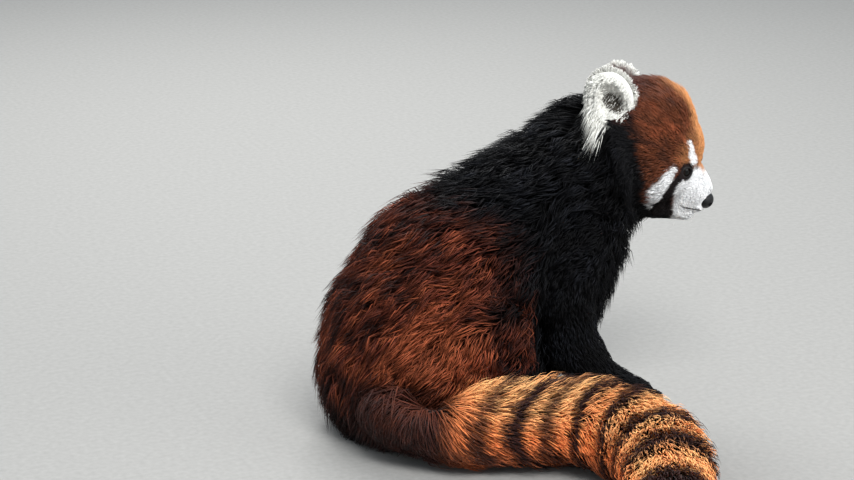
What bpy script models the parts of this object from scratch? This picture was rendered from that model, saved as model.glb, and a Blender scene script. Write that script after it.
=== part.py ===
"""Red panda, life size, sitting on its haunches with its head turned to its right and its tail on the floor.

The body under its coat is shaped from balls along chains of named stations, fused and smoothed. Tapered locks
that lie along the coat are joined to it, and the whole is parted into its named pieces with thin cuts. Units are
metres, +X is the way the body faces, +Y is its left, +Z is up.
"""

import math
import random

import bmesh
import bpy
from mathutils import Matrix, Vector
from mathutils.bvhtree import BVHTree

# Driving dimensions of the whole animal
GAP = 0.0003
FLOOR = 0.0
CENTRE = Vector((0.01917, -0.14049, 0.0))
BODY_VOXEL = 0.0045
HEAD_VOXEL = 0.0022
LEG_VOXEL = 0.0030
BODY_FACES = 1300
LEG_FACES = 3600
HEAD_FACES = 1200
BALL_STEP = 0.22

# Body chains of x, y, z, radius, width factor and the loft of the coat above its core; radii reach the coat's tips
TORSO_CHAIN = [
    (-0.088, 0.000, 0.058, 0.096, 1.02, 0.012),
    (-0.078, 0.000, 0.090, 0.101, 1.00, 0.012),
    (-0.046, 0.000, 0.143, 0.100, 0.98, 0.013),
    (0.013, 0.000, 0.182, 0.087, 1.00, 0.013),
    (0.072, 0.000, 0.221, 0.077, 0.95, 0.012),
    (0.114, -0.003, 0.249, 0.074, 0.86, 0.009),
    (0.146, -0.009, 0.262, 0.064, 0.86, 0.003),
]
BELLY_CHAIN = [
    (-0.030, 0.000, 0.080, 0.080, 1.00, 0.010),
    (0.050, 0.000, 0.084, 0.061, 1.00, 0.009),
    (0.066, 0.000, 0.142, 0.071, 0.95, 0.010),
    (0.088, -0.002, 0.200, 0.069, 0.98, 0.010),
]
HIND_CHAIN = [
    (-0.080, -0.058, 0.074, 0.059, 1.00, 0.009),
    (-0.052, -0.070, 0.105, 0.052, 0.95, 0.009),
    (-0.032, -0.082, 0.122, 0.038, 0.95, 0.008),
    (-0.030, -0.083, 0.075, 0.037, 0.90, 0.007),
    (-0.040, -0.083, 0.030, 0.029, 0.90, 0.004),
    (-0.008, -0.084, 0.018, 0.021, 1.00, 0.001),
    (0.034, -0.085, 0.013, 0.018, 1.15, 0.001),
]
FORE_CHAIN = [
    (0.060, -0.040, 0.185, 0.046, 0.90, 0.006),
    (0.050, -0.050, 0.130, 0.038, 0.95, 0.003),
    (0.060, -0.051, 0.085, 0.031, 0.95, 0.001),
    (0.092, -0.050, 0.040, 0.024, 1.00, 0.001),
    (0.126, -0.049, 0.020, 0.0195, 1.05, 0.001),
    (0.142, -0.049, 0.015, 0.0160, 1.15, 0.001),
]
TOES = 4
TOE_RADIUS, TOE_REACH, TOE_FAN = 0.0072, 0.0090, 110
CLAW_LENGTH, CLAW_RADIUS, CLAW_SIDES, CLAW_LIFT, CLAW_TIP = 0.0110, 0.0017, 4, 1.15, -0.42
CLAW_STATIONS = [(-0.55, -0.02, 1.0), (0.50, 0.0, 0.9)]
TAIL_CHAIN = [
    (-0.140, -0.040, 0.056, 0.030),
    (-0.134, -0.078, 0.048, 0.034),
    (-0.108, -0.110, 0.044, 0.038),
    (-0.068, -0.130, 0.044, 0.041),
    (-0.024, -0.146, 0.045, 0.044),
    (0.014, -0.168, 0.046, 0.046),
    (0.036, -0.206, 0.046, 0.047),
    (0.040, -0.252, 0.046, 0.047),
    (0.028, -0.300, 0.045, 0.045),
    (0.008, -0.344, 0.043, 0.041),
    (-0.012, -0.380, 0.038, 0.033),
    (-0.022, -0.400, 0.031, 0.017),
]
TAIL_NODES = 5
TAIL_SIDES = 12
TAIL_RINGS = 5
TAIL_LOFT = 0.0160
TAIL_MARGIN = 0.0015
TAIL_CORE_END = 0.965
TAIL_ROOT_SHARE = 0.10
TAIL_TUFT = 0.036
TAIL_AROUND = 5

# Where the pieces part: outlines in X and Z, cut straight through along Y, and planes
HIND_OUTLINE_CENTRE = (-0.047, 0.082)
HIND_OUTLINE_RADIUS = 0.086
HIND_INNER = 0.050
HIND_FOOT_TOP = 0.050
BELOW = 0.020
FOOT_TOP = [(0.110, 0.045), (-0.004, 0.043), (-0.062, 0.030)]
FORE_INNER = 0.020
FORE_TOP = [(0.036, 0.138), (0.118, 0.156), (0.260, 0.140)]
LEG_SPLIT_FOOT = (0.062, -0.020)
WRIST_CUT = (Vector((0.094, 0.0, 0.038)), Vector((0.90, 0.0, -0.44)))
CHEST_CUT = (Vector((0.012, 0.0, 0.170)), Vector((0.86, 0.0, 0.51)))
NECK_CUT = (Vector((0.100, 0.0, 0.237)), Vector((0.89, 0.0, 0.46)))

# Locks of the coat: length, width, thickness, spacing and the shape along a lock
SEED = 7
BODY_LOCK = (0.074, 0.046, 0.0100)
BODY_SPACING = 0.0485
TAIL_LOCK = (0.068, 0.048, 0.0115)
TAIL_STEP = 0.0480
RUFF_LOCK = (0.040, 0.021, 0.0070)
EAR_LOCK = (0.036, 0.014, 0.0055)
LOCK_STEPS = (0.0, 0.30, 0.68)
LOCK_WIDTHS = (0.55, 1.0, 0.72)
LOCK_HEIGHTS = (-0.45, 0.34, 0.74)
LOCK_TIP = 0.96
LOCK_TUCK, LOCK_FOLLOW = 0.30, 0.40
LOCK_YAW = 12.0
LOCK_ROWS = 0.88
LOCK_TRIES = 6000
BODY_LOCKS_LOW = 0.012
BODY_LOCKS_LOFT = 0.0065
BETWEEN_LEGS = Vector((-0.010, 0.055, 0.125))
HEAD_CLEAR = 0.006
HEAD_SPARE = 0.006
RUFF_LOFT = 0.006
RUFF_ROWS = [(0.012, 4, -70, 16), (-0.006, 5, -80, 20)]
EAR_TUFTS = [
    (20, 0.45), (62, 0.60), (92, 0.85), (116, 1.05), (140, 1.1), (164, 0.9),
]
EAR_DROOP = 1.1
EAR_HANG = Vector((0.02, 0.42, -0.90))
EAR_ROOTING = 0.86
EAR_FORWARD = 0.004
EAR_SIDES = 16

# Head, in its own frame: forward, left and up from the middle of the skull
HEAD_CENTRE = Vector((0.1615, -0.012, 0.2655))
HEAD_TURN, HEAD_PITCH, HEAD_ROLL = math.radians(-40), math.radians(20), math.radians(-9)
HEAD_CUT = (Vector((-0.014, 0.0, -0.009)), Vector((0.806, 0.0, 0.592)))
HEAD_BALLS = [
    ((-0.002, 0.0, 0.004), (0.058, 0.054, 0.059)),
    ((0.028, 0.0, 0.006), (0.035, 0.040, 0.037)),
    ((0.010, 0.0, -0.030), (0.045, 0.044, 0.037)),
]
HEAD_PAIRS = [
    ((0.014, 0.034, -0.026), (0.034, 0.024, 0.030)),
    ((0.050, 0.017, 0.003), (0.012, 0.011, 0.010)),
    ((0.030, 0.022, -0.018), (0.030, 0.024, 0.030)),
]
MUZZLE_CHAIN = [
    (0.048, 0.0, -0.020, 0.026, 1.00, 0.0),
    (0.065, 0.0, -0.024, 0.0185, 1.05, 0.0),
    (0.073, 0.0, -0.0285, 0.0118, 1.20, 0.0),
]
LIP_CHAIN = [
    (0.048, 0.0, -0.036, 0.019, 1.15, 0.0),
    (0.068, 0.0, -0.037, 0.010, 1.45, 0.0),
    (0.075, 0.0, -0.037, 0.008, 1.30, 0.0),
]
JAW_CHAIN = [
    (0.022, 0.0, -0.046, 0.022, 1.30, 0.0),
    (0.050, 0.0, -0.049, 0.0135, 1.25, 0.0),
    (0.067, 0.0, -0.049, 0.0075, 1.35, 0.0),
]
EYE_CENTRE = Vector((0.0484, 0.0240, -0.0085))
EYE_RADIUS = 0.0075
LID_THICKNESS = 0.0016
EYE_AIM = Vector((0.74, 0.66, 0.08))
EYE_SLIT = (0.0068, 0.0052)
EYE_SIDES, NOSE_SIDES = 14, 14
NOSE_CENTRE, NOSE_RADII = Vector((0.0795, 0.0, -0.0300)), Vector((0.0078, 0.0102, 0.0085))
NOSTRIL_CENTRE, NOSTRIL_RADII = (0.0855, 0.0052, -0.0315), (0.0040, 0.0030, 0.0021)
MOUTH_LINE = [
    (0.083, 0.000, -0.0415),
    (0.080, 0.007, -0.0430),
    (0.073, 0.0125, -0.0450),
    (0.066, 0.0165, -0.0465),
    (0.060, 0.0200, -0.0450),
]
MOUTH_GROOVE = 0.0011

# Ears: a round cup that opens outwards, on a short root
EAR_CENTRE = Vector((-0.0430, 0.0430, 0.0310))
EAR_OPEN = Vector((0.34, 0.92, 0.16))
EAR_UP = Vector((-0.62, 0.20, 0.76))
EAR_OUTER = Vector((0.0120, 0.0270, 0.0310))
EAR_HOLLOW = Vector((0.0160, 0.0205, 0.0245))
EAR_HOLLOW_SHIFT = 0.0110
EAR_ROOT = (Vector((-0.0280, 0.0330, 0.0150)), Vector((0.0180, 0.0140, 0.0200)))

RUFOUS = ((0.26, 0.045, 0.015), 0.75)
BLACK = ((0.012, 0.010, 0.012), 0.70)
FACE = ((0.33, 0.10, 0.035), 0.75)
CREAM = ((0.80, 0.76, 0.68), 0.80)
TAIL_COLOUR = ((0.45, 0.15, 0.05), 0.78)
NOSE_COLOUR = ((0.010, 0.010, 0.012), 0.30)
EYE_COLOUR = ((0.010, 0.006, 0.005), 0.05)


def clear_scene():
    """Removes every object, so that the file can be run again."""
    for old in list(bpy.data.objects):
        bpy.data.objects.remove(old, do_unlink=True)


def material(name, finish):
    """A plain finish of one colour."""
    colour, roughness = finish
    made = bpy.data.materials.new(name)
    made.use_nodes = True
    shader = made.node_tree.nodes["Principled BSDF"]
    shader.inputs["Base Color"].default_value = (*colour, 1.0)
    shader.inputs["Roughness"].default_value = roughness
    shader.inputs["Metallic"].default_value = 0.0
    return made


def add_object(name, mesh):
    """Puts a mesh in the scene as an object of the same name."""
    thing = bpy.data.objects.new(name, mesh)
    bpy.context.scene.collection.objects.link(thing)
    return thing


def object_from(name, bm):
    """Turns a bmesh into an object and frees it."""
    mesh = bpy.data.meshes.new(name)
    bm.to_mesh(mesh)
    bm.free()
    return add_object(name, mesh)


def applied(thing):
    """Applies an object's modifiers and returns it."""
    graph = bpy.context.evaluated_depsgraph_get()
    mesh = bpy.data.meshes.new_from_object(thing.evaluated_get(graph))
    thing.modifiers.clear()
    thing.data = mesh
    return thing


def boolean(thing, operation, tool):
    """Cuts or joins an object with a tool object, which is removed."""
    cut = thing.modifiers.new("cut", "BOOLEAN")
    cut.operation = operation
    cut.solver = "MANIFOLD"
    cut.object = tool
    applied(thing)
    bpy.data.objects.remove(tool, do_unlink=True)
    return thing


def joined(thing, tools):
    """Joins many closed pieces to an object at once and removes them."""
    group = bpy.data.collections.new("locks")
    bpy.context.scene.collection.children.link(group)
    for tool in tools:
        group.objects.link(tool)
    union = thing.modifiers.new("join", "BOOLEAN")
    union.operation = "UNION"
    union.solver = "MANIFOLD"
    union.operand_type = "COLLECTION"
    union.collection = group
    applied(thing)
    for tool in tools:
        bpy.data.objects.remove(tool, do_unlink=True)
    bpy.data.collections.remove(group)
    return thing


def copy_of(thing, name):
    """A second object with its own mesh."""
    return add_object(name, thing.data.copy())


def tree_of(thing):
    """A search tree over an object's faces."""
    bm = bmesh.new()
    bm.from_mesh(thing.data)
    tree = BVHTree.FromBMesh(bm)
    bm.free()
    return tree


def head_matrix():
    """Places head measures in the world."""
    turn = Matrix.Rotation(HEAD_TURN, 4, "Z") @ Matrix.Rotation(HEAD_PITCH, 4, "Y") @ Matrix.Rotation(HEAD_ROLL, 4, "X")
    return Matrix.Translation(HEAD_CENTRE) @ turn


def add_ball(bm, centre, radii, frame=Matrix(), fine=3):
    """Adds an ellipsoid ball, its radii along the axes of its frame."""
    shape = frame @ Matrix.Translation(Vector(centre)) @ Matrix.Diagonal((*radii, 1.0))
    bmesh.ops.create_icosphere(bm, subdivisions=fine, radius=1.0, matrix=shape)


def add_globe(bm, frame, radii, sides):
    """Adds a ball of meridians round the first axis of its frame."""
    pole = Matrix.Rotation(math.radians(90), 4, "Y")
    shape = frame @ Matrix.Diagonal((*radii, 1.0)) @ pole
    bmesh.ops.create_uvsphere(bm, u_segments=sides, v_segments=sides // 2 + 1, radius=1.0, matrix=shape)
    bmesh.ops.triangulate(bm, faces=bm.faces)


def add_chain(bm, stations, side=1, frame=Matrix()):
    """Adds balls along a chain of stations, under the coat and close enough to fuse into one limb."""
    for (x0, y0, z0, r0, w0, loft0), (x1, y1, z1, r1, w1, loft1) in zip(stations, stations[1:]):
        core0, core1 = r0 - loft0, r1 - loft1
        length = math.dist((x0, y0, z0), (x1, y1, z1))
        steps = max(2, math.ceil(length / (BALL_STEP * min(core0, core1))))
        for k in range(steps + 1):
            t = k / steps
            radius = core0 + (core1 - core0) * t
            width = w0 + (w1 - w0) * t
            centre = (x0 + (x1 - x0) * t, side * (y0 + (y1 - y0) * t), z0 + (z1 - z0) * t)
            add_ball(bm, centre, (radius, radius * width, radius), frame)


def add_trunk(bm):
    """Adds the balls of the body, the legs and the head."""
    add_chain(bm, TORSO_CHAIN)
    add_chain(bm, BELLY_CHAIN)
    for side in (1, -1):
        add_chain(bm, HIND_CHAIN, side)
        add_chain(bm, FORE_CHAIN, side)
    add_head(bm)


def add_head(bm):
    """Adds the balls of skull, cheeks, brows, muzzle, lips and jaw."""
    frame = head_matrix()
    for centre, radii in HEAD_BALLS:
        add_ball(bm, centre, radii, frame)
    for (x, y, z), radii in HEAD_PAIRS:
        for side in (1, -1):
            add_ball(bm, (x, side * y, z), radii, frame)
    for chain in (MUZZLE_CHAIN, LIP_CHAIN, JAW_CHAIN):
        add_chain(bm, chain, 1, frame)


def add_toes(bm, chain, side):
    """Adds a row of toe bumps round the end of a foot."""
    x, y, z, radius, width, loft = chain[-1]
    for k in range(TOES):
        turn = math.radians(TOE_FAN) * (k / (TOES - 1) - 0.5)
        out = radius - TOE_RADIUS * 0.4
        spot = (x + out * math.cos(turn) + TOE_REACH * 0.3, side * y + out * width * math.sin(turn), TOE_RADIUS * 1.05)
        add_ball(bm, spot, (TOE_RADIUS * 1.35, TOE_RADIUS * 0.8, TOE_RADIUS))


def claw(chain, side, k):
    """One small curved claw of a foot on one side, 1 the left, as a closed cone of a few sides."""
    x, y, z, radius, width, loft = chain[-1]
    turn = math.radians(TOE_FAN) * (k / (TOES - 1) - 0.5)
    out = radius + TOE_RADIUS * 0.55 + TOE_REACH * 0.3
    root = Vector((x + out * math.cos(turn), out * width * math.sin(turn) - side * y, TOE_RADIUS * CLAW_LIFT))
    ahead = Vector((math.cos(turn), math.sin(turn), 0.0))
    across = Vector((-math.sin(turn), math.cos(turn), 0.0))
    bm = bmesh.new()
    loops = []
    for reach, drop, size in CLAW_STATIONS:
        middle = root + ahead * reach * CLAW_LENGTH + Vector((0, 0, drop * CLAW_LENGTH))
        loop = []
        for j in range(CLAW_SIDES):
            a = 2 * math.pi * j / CLAW_SIDES
            offset = across * math.cos(a) + Vector((0, 0, math.sin(a)))
            loop.append(bm.verts.new(middle + offset * size * CLAW_RADIUS))
        loops.append(loop)
    tip = bm.verts.new(root + ahead * CLAW_LENGTH + Vector((0, 0, CLAW_TIP * CLAW_LENGTH)))
    for near, far in zip(loops, loops[1:]):
        for j in range(CLAW_SIDES):
            i = (j + 1) % CLAW_SIDES
            bm.faces.new((near[j], near[i], far[i]))
            bm.faces.new((near[j], far[i], far[j]))
    bm.faces.new(loops[0][::-1])
    for j in range(CLAW_SIDES):
        bm.faces.new((loops[-1][j], loops[-1][(j + 1) % CLAW_SIDES], tip))
    bmesh.ops.recalc_face_normals(bm, faces=bm.faces)
    return object_from("claw", bm)


def fused(name, bm, voxel, rounds, faces):
    """Fuses overlapping balls into one smooth skin with about the given number of triangles."""
    skin = object_from(name, bm)
    remesh = skin.modifiers.new("fuse", "REMESH")
    remesh.mode = "VOXEL"
    remesh.voxel_size = voxel
    smooth = skin.modifiers.new("smooth", "SMOOTH")
    smooth.factor = 0.5
    smooth.iterations = rounds
    applied(skin)
    total = 2 * len(skin.data.polygons)
    thin = skin.modifiers.new("thin", "DECIMATE")
    thin.ratio = faces / total
    thin.use_collapse_triangulate = True
    return applied(skin)


def prism(name, outline, y0, y1):
    """An outline in X and Z as a solid between y0 and y1."""
    bm = bmesh.new()
    near = [bm.verts.new((x, y0, z)) for x, z in outline]
    far = [bm.verts.new((x, y1, z)) for x, z in outline]
    bm.faces.new(near)
    bm.faces.new(far[::-1])
    for k in range(len(outline)):
        j = (k + 1) % len(outline)
        bm.faces.new((near[k], far[k], far[j], near[j]))
    bmesh.ops.recalc_face_normals(bm, faces=bm.faces)
    return object_from(name, bm)


def box_ahead(name, point, normal, gap, low):
    """A large box that starts a gap past a plane and reaches along its normal, with its floor at low."""
    size = 0.8
    ahead = Vector(normal).normalized()
    turn = ahead.to_track_quat("X", "Z").to_matrix().to_4x4()
    bm = bmesh.new()
    middle = Vector(point) + ahead * (gap + size / 2)
    bmesh.ops.create_cube(bm, size=size, matrix=Matrix.Translation(middle) @ turn)
    box = object_from(name, bm)
    slab = bmesh.new()
    bmesh.ops.create_cube(slab, size=3.0, matrix=Matrix.Translation((0, 0, low + 1.5)))
    return boolean(box, "INTERSECT", object_from("slab", slab))


def grown(outline, by):
    """Moves each edge of an anticlockwise outline outwards by a distance."""
    result = []
    for k, (x, z) in enumerate(outline):
        before, after = outline[k - 1], outline[(k + 1) % len(outline)]
        a = Vector((x - before[0], z - before[1])).normalized()
        b = Vector((after[0] - x, after[1] - z)).normalized()
        na, nb = Vector((a.y, -a.x)), Vector((b.y, -b.x))
        move = (na + nb) / max(0.2, 1 + na.dot(nb))
        result.append((x + move.x * by, z + move.y * by))
    return result


def split_x(z):
    """Where the line between hind and fore legs stands at a height."""
    top = FORE_TOP[0]
    t = (z - LEG_SPLIT_FOOT[1]) / (top[1] - LEG_SPLIT_FOOT[1])
    return LEG_SPLIT_FOOT[0] + (top[0] - LEG_SPLIT_FOOT[0]) * t


def hind_outline(low):
    """The haunch, shank and foot, seen from the side, anticlockwise."""
    cx, cz = HIND_OUTLINE_CENTRE
    arc = [math.radians(a) for a in range(20, 221, 20)]
    round_part = [(cx + HIND_OUTLINE_RADIUS * math.cos(a), cz + HIND_OUTLINE_RADIUS * math.sin(a)) for a in arc]
    split = split_x(low) - GAP, split_x(HIND_FOOT_TOP) - GAP
    return [(cx - 0.055, low), (split[0], low), (split[1], HIND_FOOT_TOP)] + round_part


def foot_outline(low):
    """The hind foot under its ankle, seen from the side, anticlockwise."""
    return [(FOOT_TOP[-1][0], low), (FOOT_TOP[0][0], low)] + FOOT_TOP


def fore_outline(low):
    """The foreleg from below the elbow to the paw, seen from the side, anticlockwise."""
    return [(split_x(low), low), (FORE_TOP[2][0], low), FORE_TOP[2], FORE_TOP[1], FORE_TOP[0]]


def side_prism(name, outline, inner, side):
    """A side outline from an inner distance outwards, on one side of the body."""
    return prism(name, outline, side * inner, side * 0.3)


def tail_point(t):
    """The tail's centre line, direction and radius at t from 0 to 1, on a smooth curve through its stations."""
    place = min(max(t, 0.0), 1.0) * (len(TAIL_CHAIN) - 1)
    k = min(int(place), len(TAIL_CHAIN) - 2)
    u = place - k
    rows = [Vector(TAIL_CHAIN[min(max(k + j, 0), len(TAIL_CHAIN) - 1)]) for j in (-1, 0, 1, 2)]
    p0, p1, p2, p3 = rows
    value = 0.5 * (2 * p1 + (p2 - p0) * u + (2 * p0 - 5 * p1 + 4 * p2 - p3) * u**2 + (3 * p1 - p0 - 3 * p2 + p3) * u**3)
    slope = 0.5 * ((p2 - p0) + 2 * (2 * p0 - 5 * p1 + 4 * p2 - p3) * u + 3 * (3 * p1 - p0 - 3 * p2 + p3) * u**2)
    return Vector(value[:3]), Vector(slope[:3]).normalized(), value[3]


def tail_length():
    """The length of the tail's centre line."""
    return sum(math.dist(a[:3], b[:3]) for a, b in zip(TAIL_CHAIN, TAIL_CHAIN[1:]))


def tail_spot(t, angle, height):
    """A point on the tail at a share of the coat's loft above its core; past the end it draws to a point."""
    centre, ahead, radius = tail_point(t)
    loft = TAIL_LOFT * min(1.0, t / TAIL_ROOT_SHARE)
    reach = radius - loft * (1 - height)
    past = (t - 1) * tail_length()
    if past > 0:
        centre = centre + ahead * past
        reach = reach * max(0.15, 1 - past / TAIL_TUFT)
    across = ahead.cross(Vector((0, 0, 1))).normalized()
    above = across.cross(ahead)
    return centre + reach * (across * math.cos(angle) + above * math.sin(angle))


def tail_steps(first, last, inset=0.0):
    """Even steps along the tail from one length to another, with the two ends drawn in."""
    total = TAIL_NODES * TAIL_RINGS
    steps = [k / total for k in range(first * TAIL_RINGS, last * TAIL_RINGS + 1)]
    if first > 0:
        steps[0] += inset
    if last < TAIL_NODES:
        steps[-1] -= inset
    return steps


def tail_tube(name, steps, grow, height=1.0, before=0.0, beyond=0.0):
    """A length of the tail as a round closed solid at a share of its loft, grown round and past its ends."""
    bm = bmesh.new()
    loops = []
    for t in steps:
        centre, ahead, radius = tail_point(t)
        loft = TAIL_LOFT * min(1.0, t / TAIL_ROOT_SHARE)
        reach = radius - loft * (1 - height) + grow
        centre = centre + ahead * (beyond * (t == steps[-1]) - before * (t == steps[0]))
        across = ahead.cross(Vector((0, 0, 1))).normalized()
        above = across.cross(ahead)
        loop = []
        for j in range(TAIL_SIDES):
            a = 2 * math.pi * j / TAIL_SIDES
            loop.append(bm.verts.new(centre + reach * (across * math.cos(a) + above * math.sin(a))))
        loops.append(loop)
    for near, far in zip(loops, loops[1:]):
        for j in range(TAIL_SIDES):
            i = (j + 1) % TAIL_SIDES
            bm.faces.new((near[j], near[i], far[i]))
            bm.faces.new((near[j], far[i], far[j]))
    bm.faces.new(loops[0][::-1])
    bm.faces.new(loops[-1])
    bmesh.ops.recalc_face_normals(bm, faces=bm.faces)
    return object_from(name, bm)


def blade(rows, tip):
    """A closed tapered lock from rows of left, top, right and under corners to its tip."""
    bm = bmesh.new()
    loops = [[bm.verts.new(corner) for corner in row] for row in rows]
    for near, far in zip(loops, loops[1:]):
        for j in range(4):
            i = (j + 1) % 4
            bm.faces.new((near[j], near[i], far[i]))
            bm.faces.new((near[j], far[i], far[j]))
    end = bm.verts.new(tip)
    for j in range(4):
        bm.faces.new((loops[-1][j], loops[-1][(j + 1) % 4], end))
    bm.faces.new(loops[0][::-1])
    bmesh.ops.recalc_face_normals(bm, faces=bm.faces)
    return object_from("lock", bm)


def lie_along(lie, normal):
    """The part of a direction that lies in a surface."""
    flat = lie - normal * lie.dot(normal)
    return flat.normalized() if flat.length > 0.05 else normal.orthogonal().normalized()


def surface_lock(tree, start, lie_at, size, loft, chance):
    """One lock rooted in a surface and walked along its lie, rising to the loft at its tip."""
    length, width, thick = size
    length *= chance.uniform(0.85, 1.15)
    width *= chance.uniform(0.88, 1.1)
    top = loft * chance.uniform(0.88, 1.1)
    spot, normal, _, _ = tree.find_nearest(start)
    heading = lie_along(lie_at(spot), normal)
    heading = Matrix.Rotation(math.radians(chance.uniform(-LOCK_YAW, LOCK_YAW)), 3, normal) @ heading
    rows, before = [], 0.0
    for share, wide, height in zip(LOCK_STEPS, LOCK_WIDTHS, LOCK_HEIGHTS):
        spot, normal, _, _ = tree.find_nearest(spot + heading * (share - before) * length)
        heading = lie_along(heading.lerp(lie_at(spot), LOCK_FOLLOW), normal)
        before = share
        side = heading.cross(normal).normalized() * (width * wide / 2)
        level = top * height
        half = thick * wide / 2
        edges = []
        for corner in (spot - side, spot + side):
            foot, up, _, _ = tree.find_nearest(corner)
            edges.append(foot + up * (level - half * LOCK_TUCK))
        rows.append((edges[0], spot + normal * (level + half), edges[1], spot + normal * (level - half)))
    spot, normal, _, _ = tree.find_nearest(spot + heading * (1 - before) * length)
    return blade(rows, spot + normal * top * LOCK_TIP)


def nearest_loft(point):
    """The coat's loft at a point, read from the nearest limb."""
    best, loft = 1e9, 0.0
    for chain, sides in ((TORSO_CHAIN, (1,)), (BELLY_CHAIN, (1,)), (HIND_CHAIN, (1, -1)), (FORE_CHAIN, (1, -1))):
        for side in sides:
            for a, b in zip(chain, chain[1:]):
                p, q = Vector((a[0], side * a[1], a[2])), Vector((b[0], side * b[1], b[2]))
                t = min(1.0, max(0.0, (point - p).dot(q - p) / (q - p).length_squared))
                away = (point - p.lerp(q, t)).length - (a[3] - a[5]) * (1 - t) - (b[3] - b[5]) * t
                if away < best:
                    best, loft = away, a[5] * (1 - t) + b[5] * t
    return loft


def spread_points(thing, spacing, lie_at, wanted, chance):
    """Points spread evenly over a surface, a little closer along the lie than across it."""
    mesh = thing.data
    mesh.calc_loop_triangles()
    corners = [[mesh.vertices[i].co for i in tri.vertices] for tri in mesh.loop_triangles]
    areas = [((b - a).cross(c - a)).length / 2 for a, b, c in corners]
    kept = []
    for a, b, c in chance.choices(corners, areas, k=LOCK_TRIES):
        u, v = chance.random(), chance.random()
        if u + v > 1:
            u, v = 1 - u, 1 - v
        point = a + (b - a) * u + (c - a) * v
        if not wanted(point):
            continue
        lie = lie_at(point).normalized()
        clear = True
        for other in kept:
            apart = point - other
            along = apart.dot(lie)
            if math.sqrt(max(0.0, apart.length_squared - along * along) + (along / LOCK_ROWS) ** 2) < spacing:
                clear = False
                break
        if clear:
            kept.append(point)
    return kept


def body_lie(point):
    """The coat of body and legs runs back and down."""
    return Vector((-0.66, 0.0, -0.75))


def body_locks(whole, chance):
    """The locks of neck, back, flanks, belly, chest and haunches."""
    head_point, head_normal = head_plane()

    def wanted(point):
        if point.z < BODY_LOCKS_LOW or (point - head_point).dot(head_normal) > -HEAD_CLEAR:
            return False
        if point.z < BETWEEN_LEGS.z and point.x > BETWEEN_LEGS.x and abs(point.y) < BETWEEN_LEGS.y:
            return False
        return nearest_loft(point) > BODY_LOCKS_LOFT

    tree = tree_of(whole)
    locks = []
    for start in spread_points(whole, BODY_SPACING, body_lie, wanted, chance):
        locks.append(surface_lock(tree, start, body_lie, BODY_LOCK, nearest_loft(start), chance))
    return locks


def tail_locks(chance):
    """Staggered rows of locks along the tail, with a tuft past its end."""
    locks = []
    length, width, thick = TAIL_LOCK
    total = tail_length()
    rows = round(total * TAIL_CORE_END / TAIL_STEP)
    for row in range(rows):
        for k in range(TAIL_AROUND):
            t = (row + chance.uniform(0.3, 0.7)) * TAIL_STEP / total
            radius = tail_point(t)[2]
            angle = 2 * math.pi * (k + 0.5 * (row % 2) + chance.uniform(-0.12, 0.12)) / TAIL_AROUND
            reach = length * chance.uniform(0.85, 1.15) / total
            wide = min(1.0, radius / 0.040) * width * chance.uniform(0.9, 1.1)
            top = chance.uniform(0.90, 1.05)
            corners = []
            for share, part, height in zip(LOCK_STEPS, LOCK_WIDTHS, LOCK_HEIGHTS):
                place = t + reach * share
                level = top * height
                half = thick * part / 2
                spread = wide * part / 2 / radius
                loft = TAIL_LOFT * min(1.0, max(0.05, place / TAIL_ROOT_SHARE))
                edge = level - half * LOCK_TUCK / loft
                corners.append((
                    tail_spot(place, angle - spread, edge),
                    tail_spot(place, angle, level + half / loft),
                    tail_spot(place, angle + spread, edge),
                    tail_spot(place, angle, level - half / loft),
                ))
            locks.append(blade(corners, tail_spot(t + reach, angle, top * LOCK_TIP)))
    return locks


def head_lie(point):
    """The coat of the cheeks runs back and a little down."""
    return head_matrix().to_3x3() @ Vector((-1.0, 0.0, -0.30))


def ruff_locks(head, chance):
    """Rows of locks round the back of the cheeks and under the jaw."""
    tree = tree_of(head)
    frame = head_matrix()
    locks = []
    for forward, count, first, last in RUFF_ROWS:
        for side in (1, -1):
            for k in range(count):
                a = math.radians(first + (last - first) * k / (count - 1) + chance.uniform(-4, 4))
                out = Vector((forward, side * math.cos(a) * 0.3, math.sin(a) * 0.3))
                hub = frame @ Vector((forward, 0.0, -0.012))
                away = (frame @ out - hub).normalized()
                found = tree.ray_cast(hub + away * 0.3, -away)
                if found[0] is not None:
                    locks.append(surface_lock(tree, found[0], head_lie, RUFF_LOCK, RUFF_LOFT, chance))
    return locks


def ear_frame(side):
    """The ear's own axes in the head: opening, width and height."""
    opening = Vector((EAR_OPEN.x, side * EAR_OPEN.y, EAR_OPEN.z)).normalized()
    up = Vector((EAR_UP.x, side * EAR_UP.y, EAR_UP.z))
    up = (up - opening * up.dot(opening)).normalized()
    width = up.cross(opening)
    turn = Matrix((opening, width, up)).transposed().to_4x4()
    return head_matrix() @ Matrix.Translation((EAR_CENTRE.x, side * EAR_CENTRE.y, EAR_CENTRE.z)) @ turn


def ear_outer(side, grow):
    """The outer form of an ear with its root, grown by a distance."""
    frame = ear_frame(side)
    bm = bmesh.new()
    add_globe(bm, frame, EAR_OUTER + Vector((grow, grow, grow)), EAR_SIDES)
    bowl = object_from("bowl", bm)
    root = bmesh.new()
    centre, radii = EAR_ROOT
    add_ball(root, (centre.x, side * centre.y, centre.z), radii + Vector((grow, grow, grow)), head_matrix(), 2)
    return boolean(bowl, "UNION", object_from("root", root))


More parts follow.
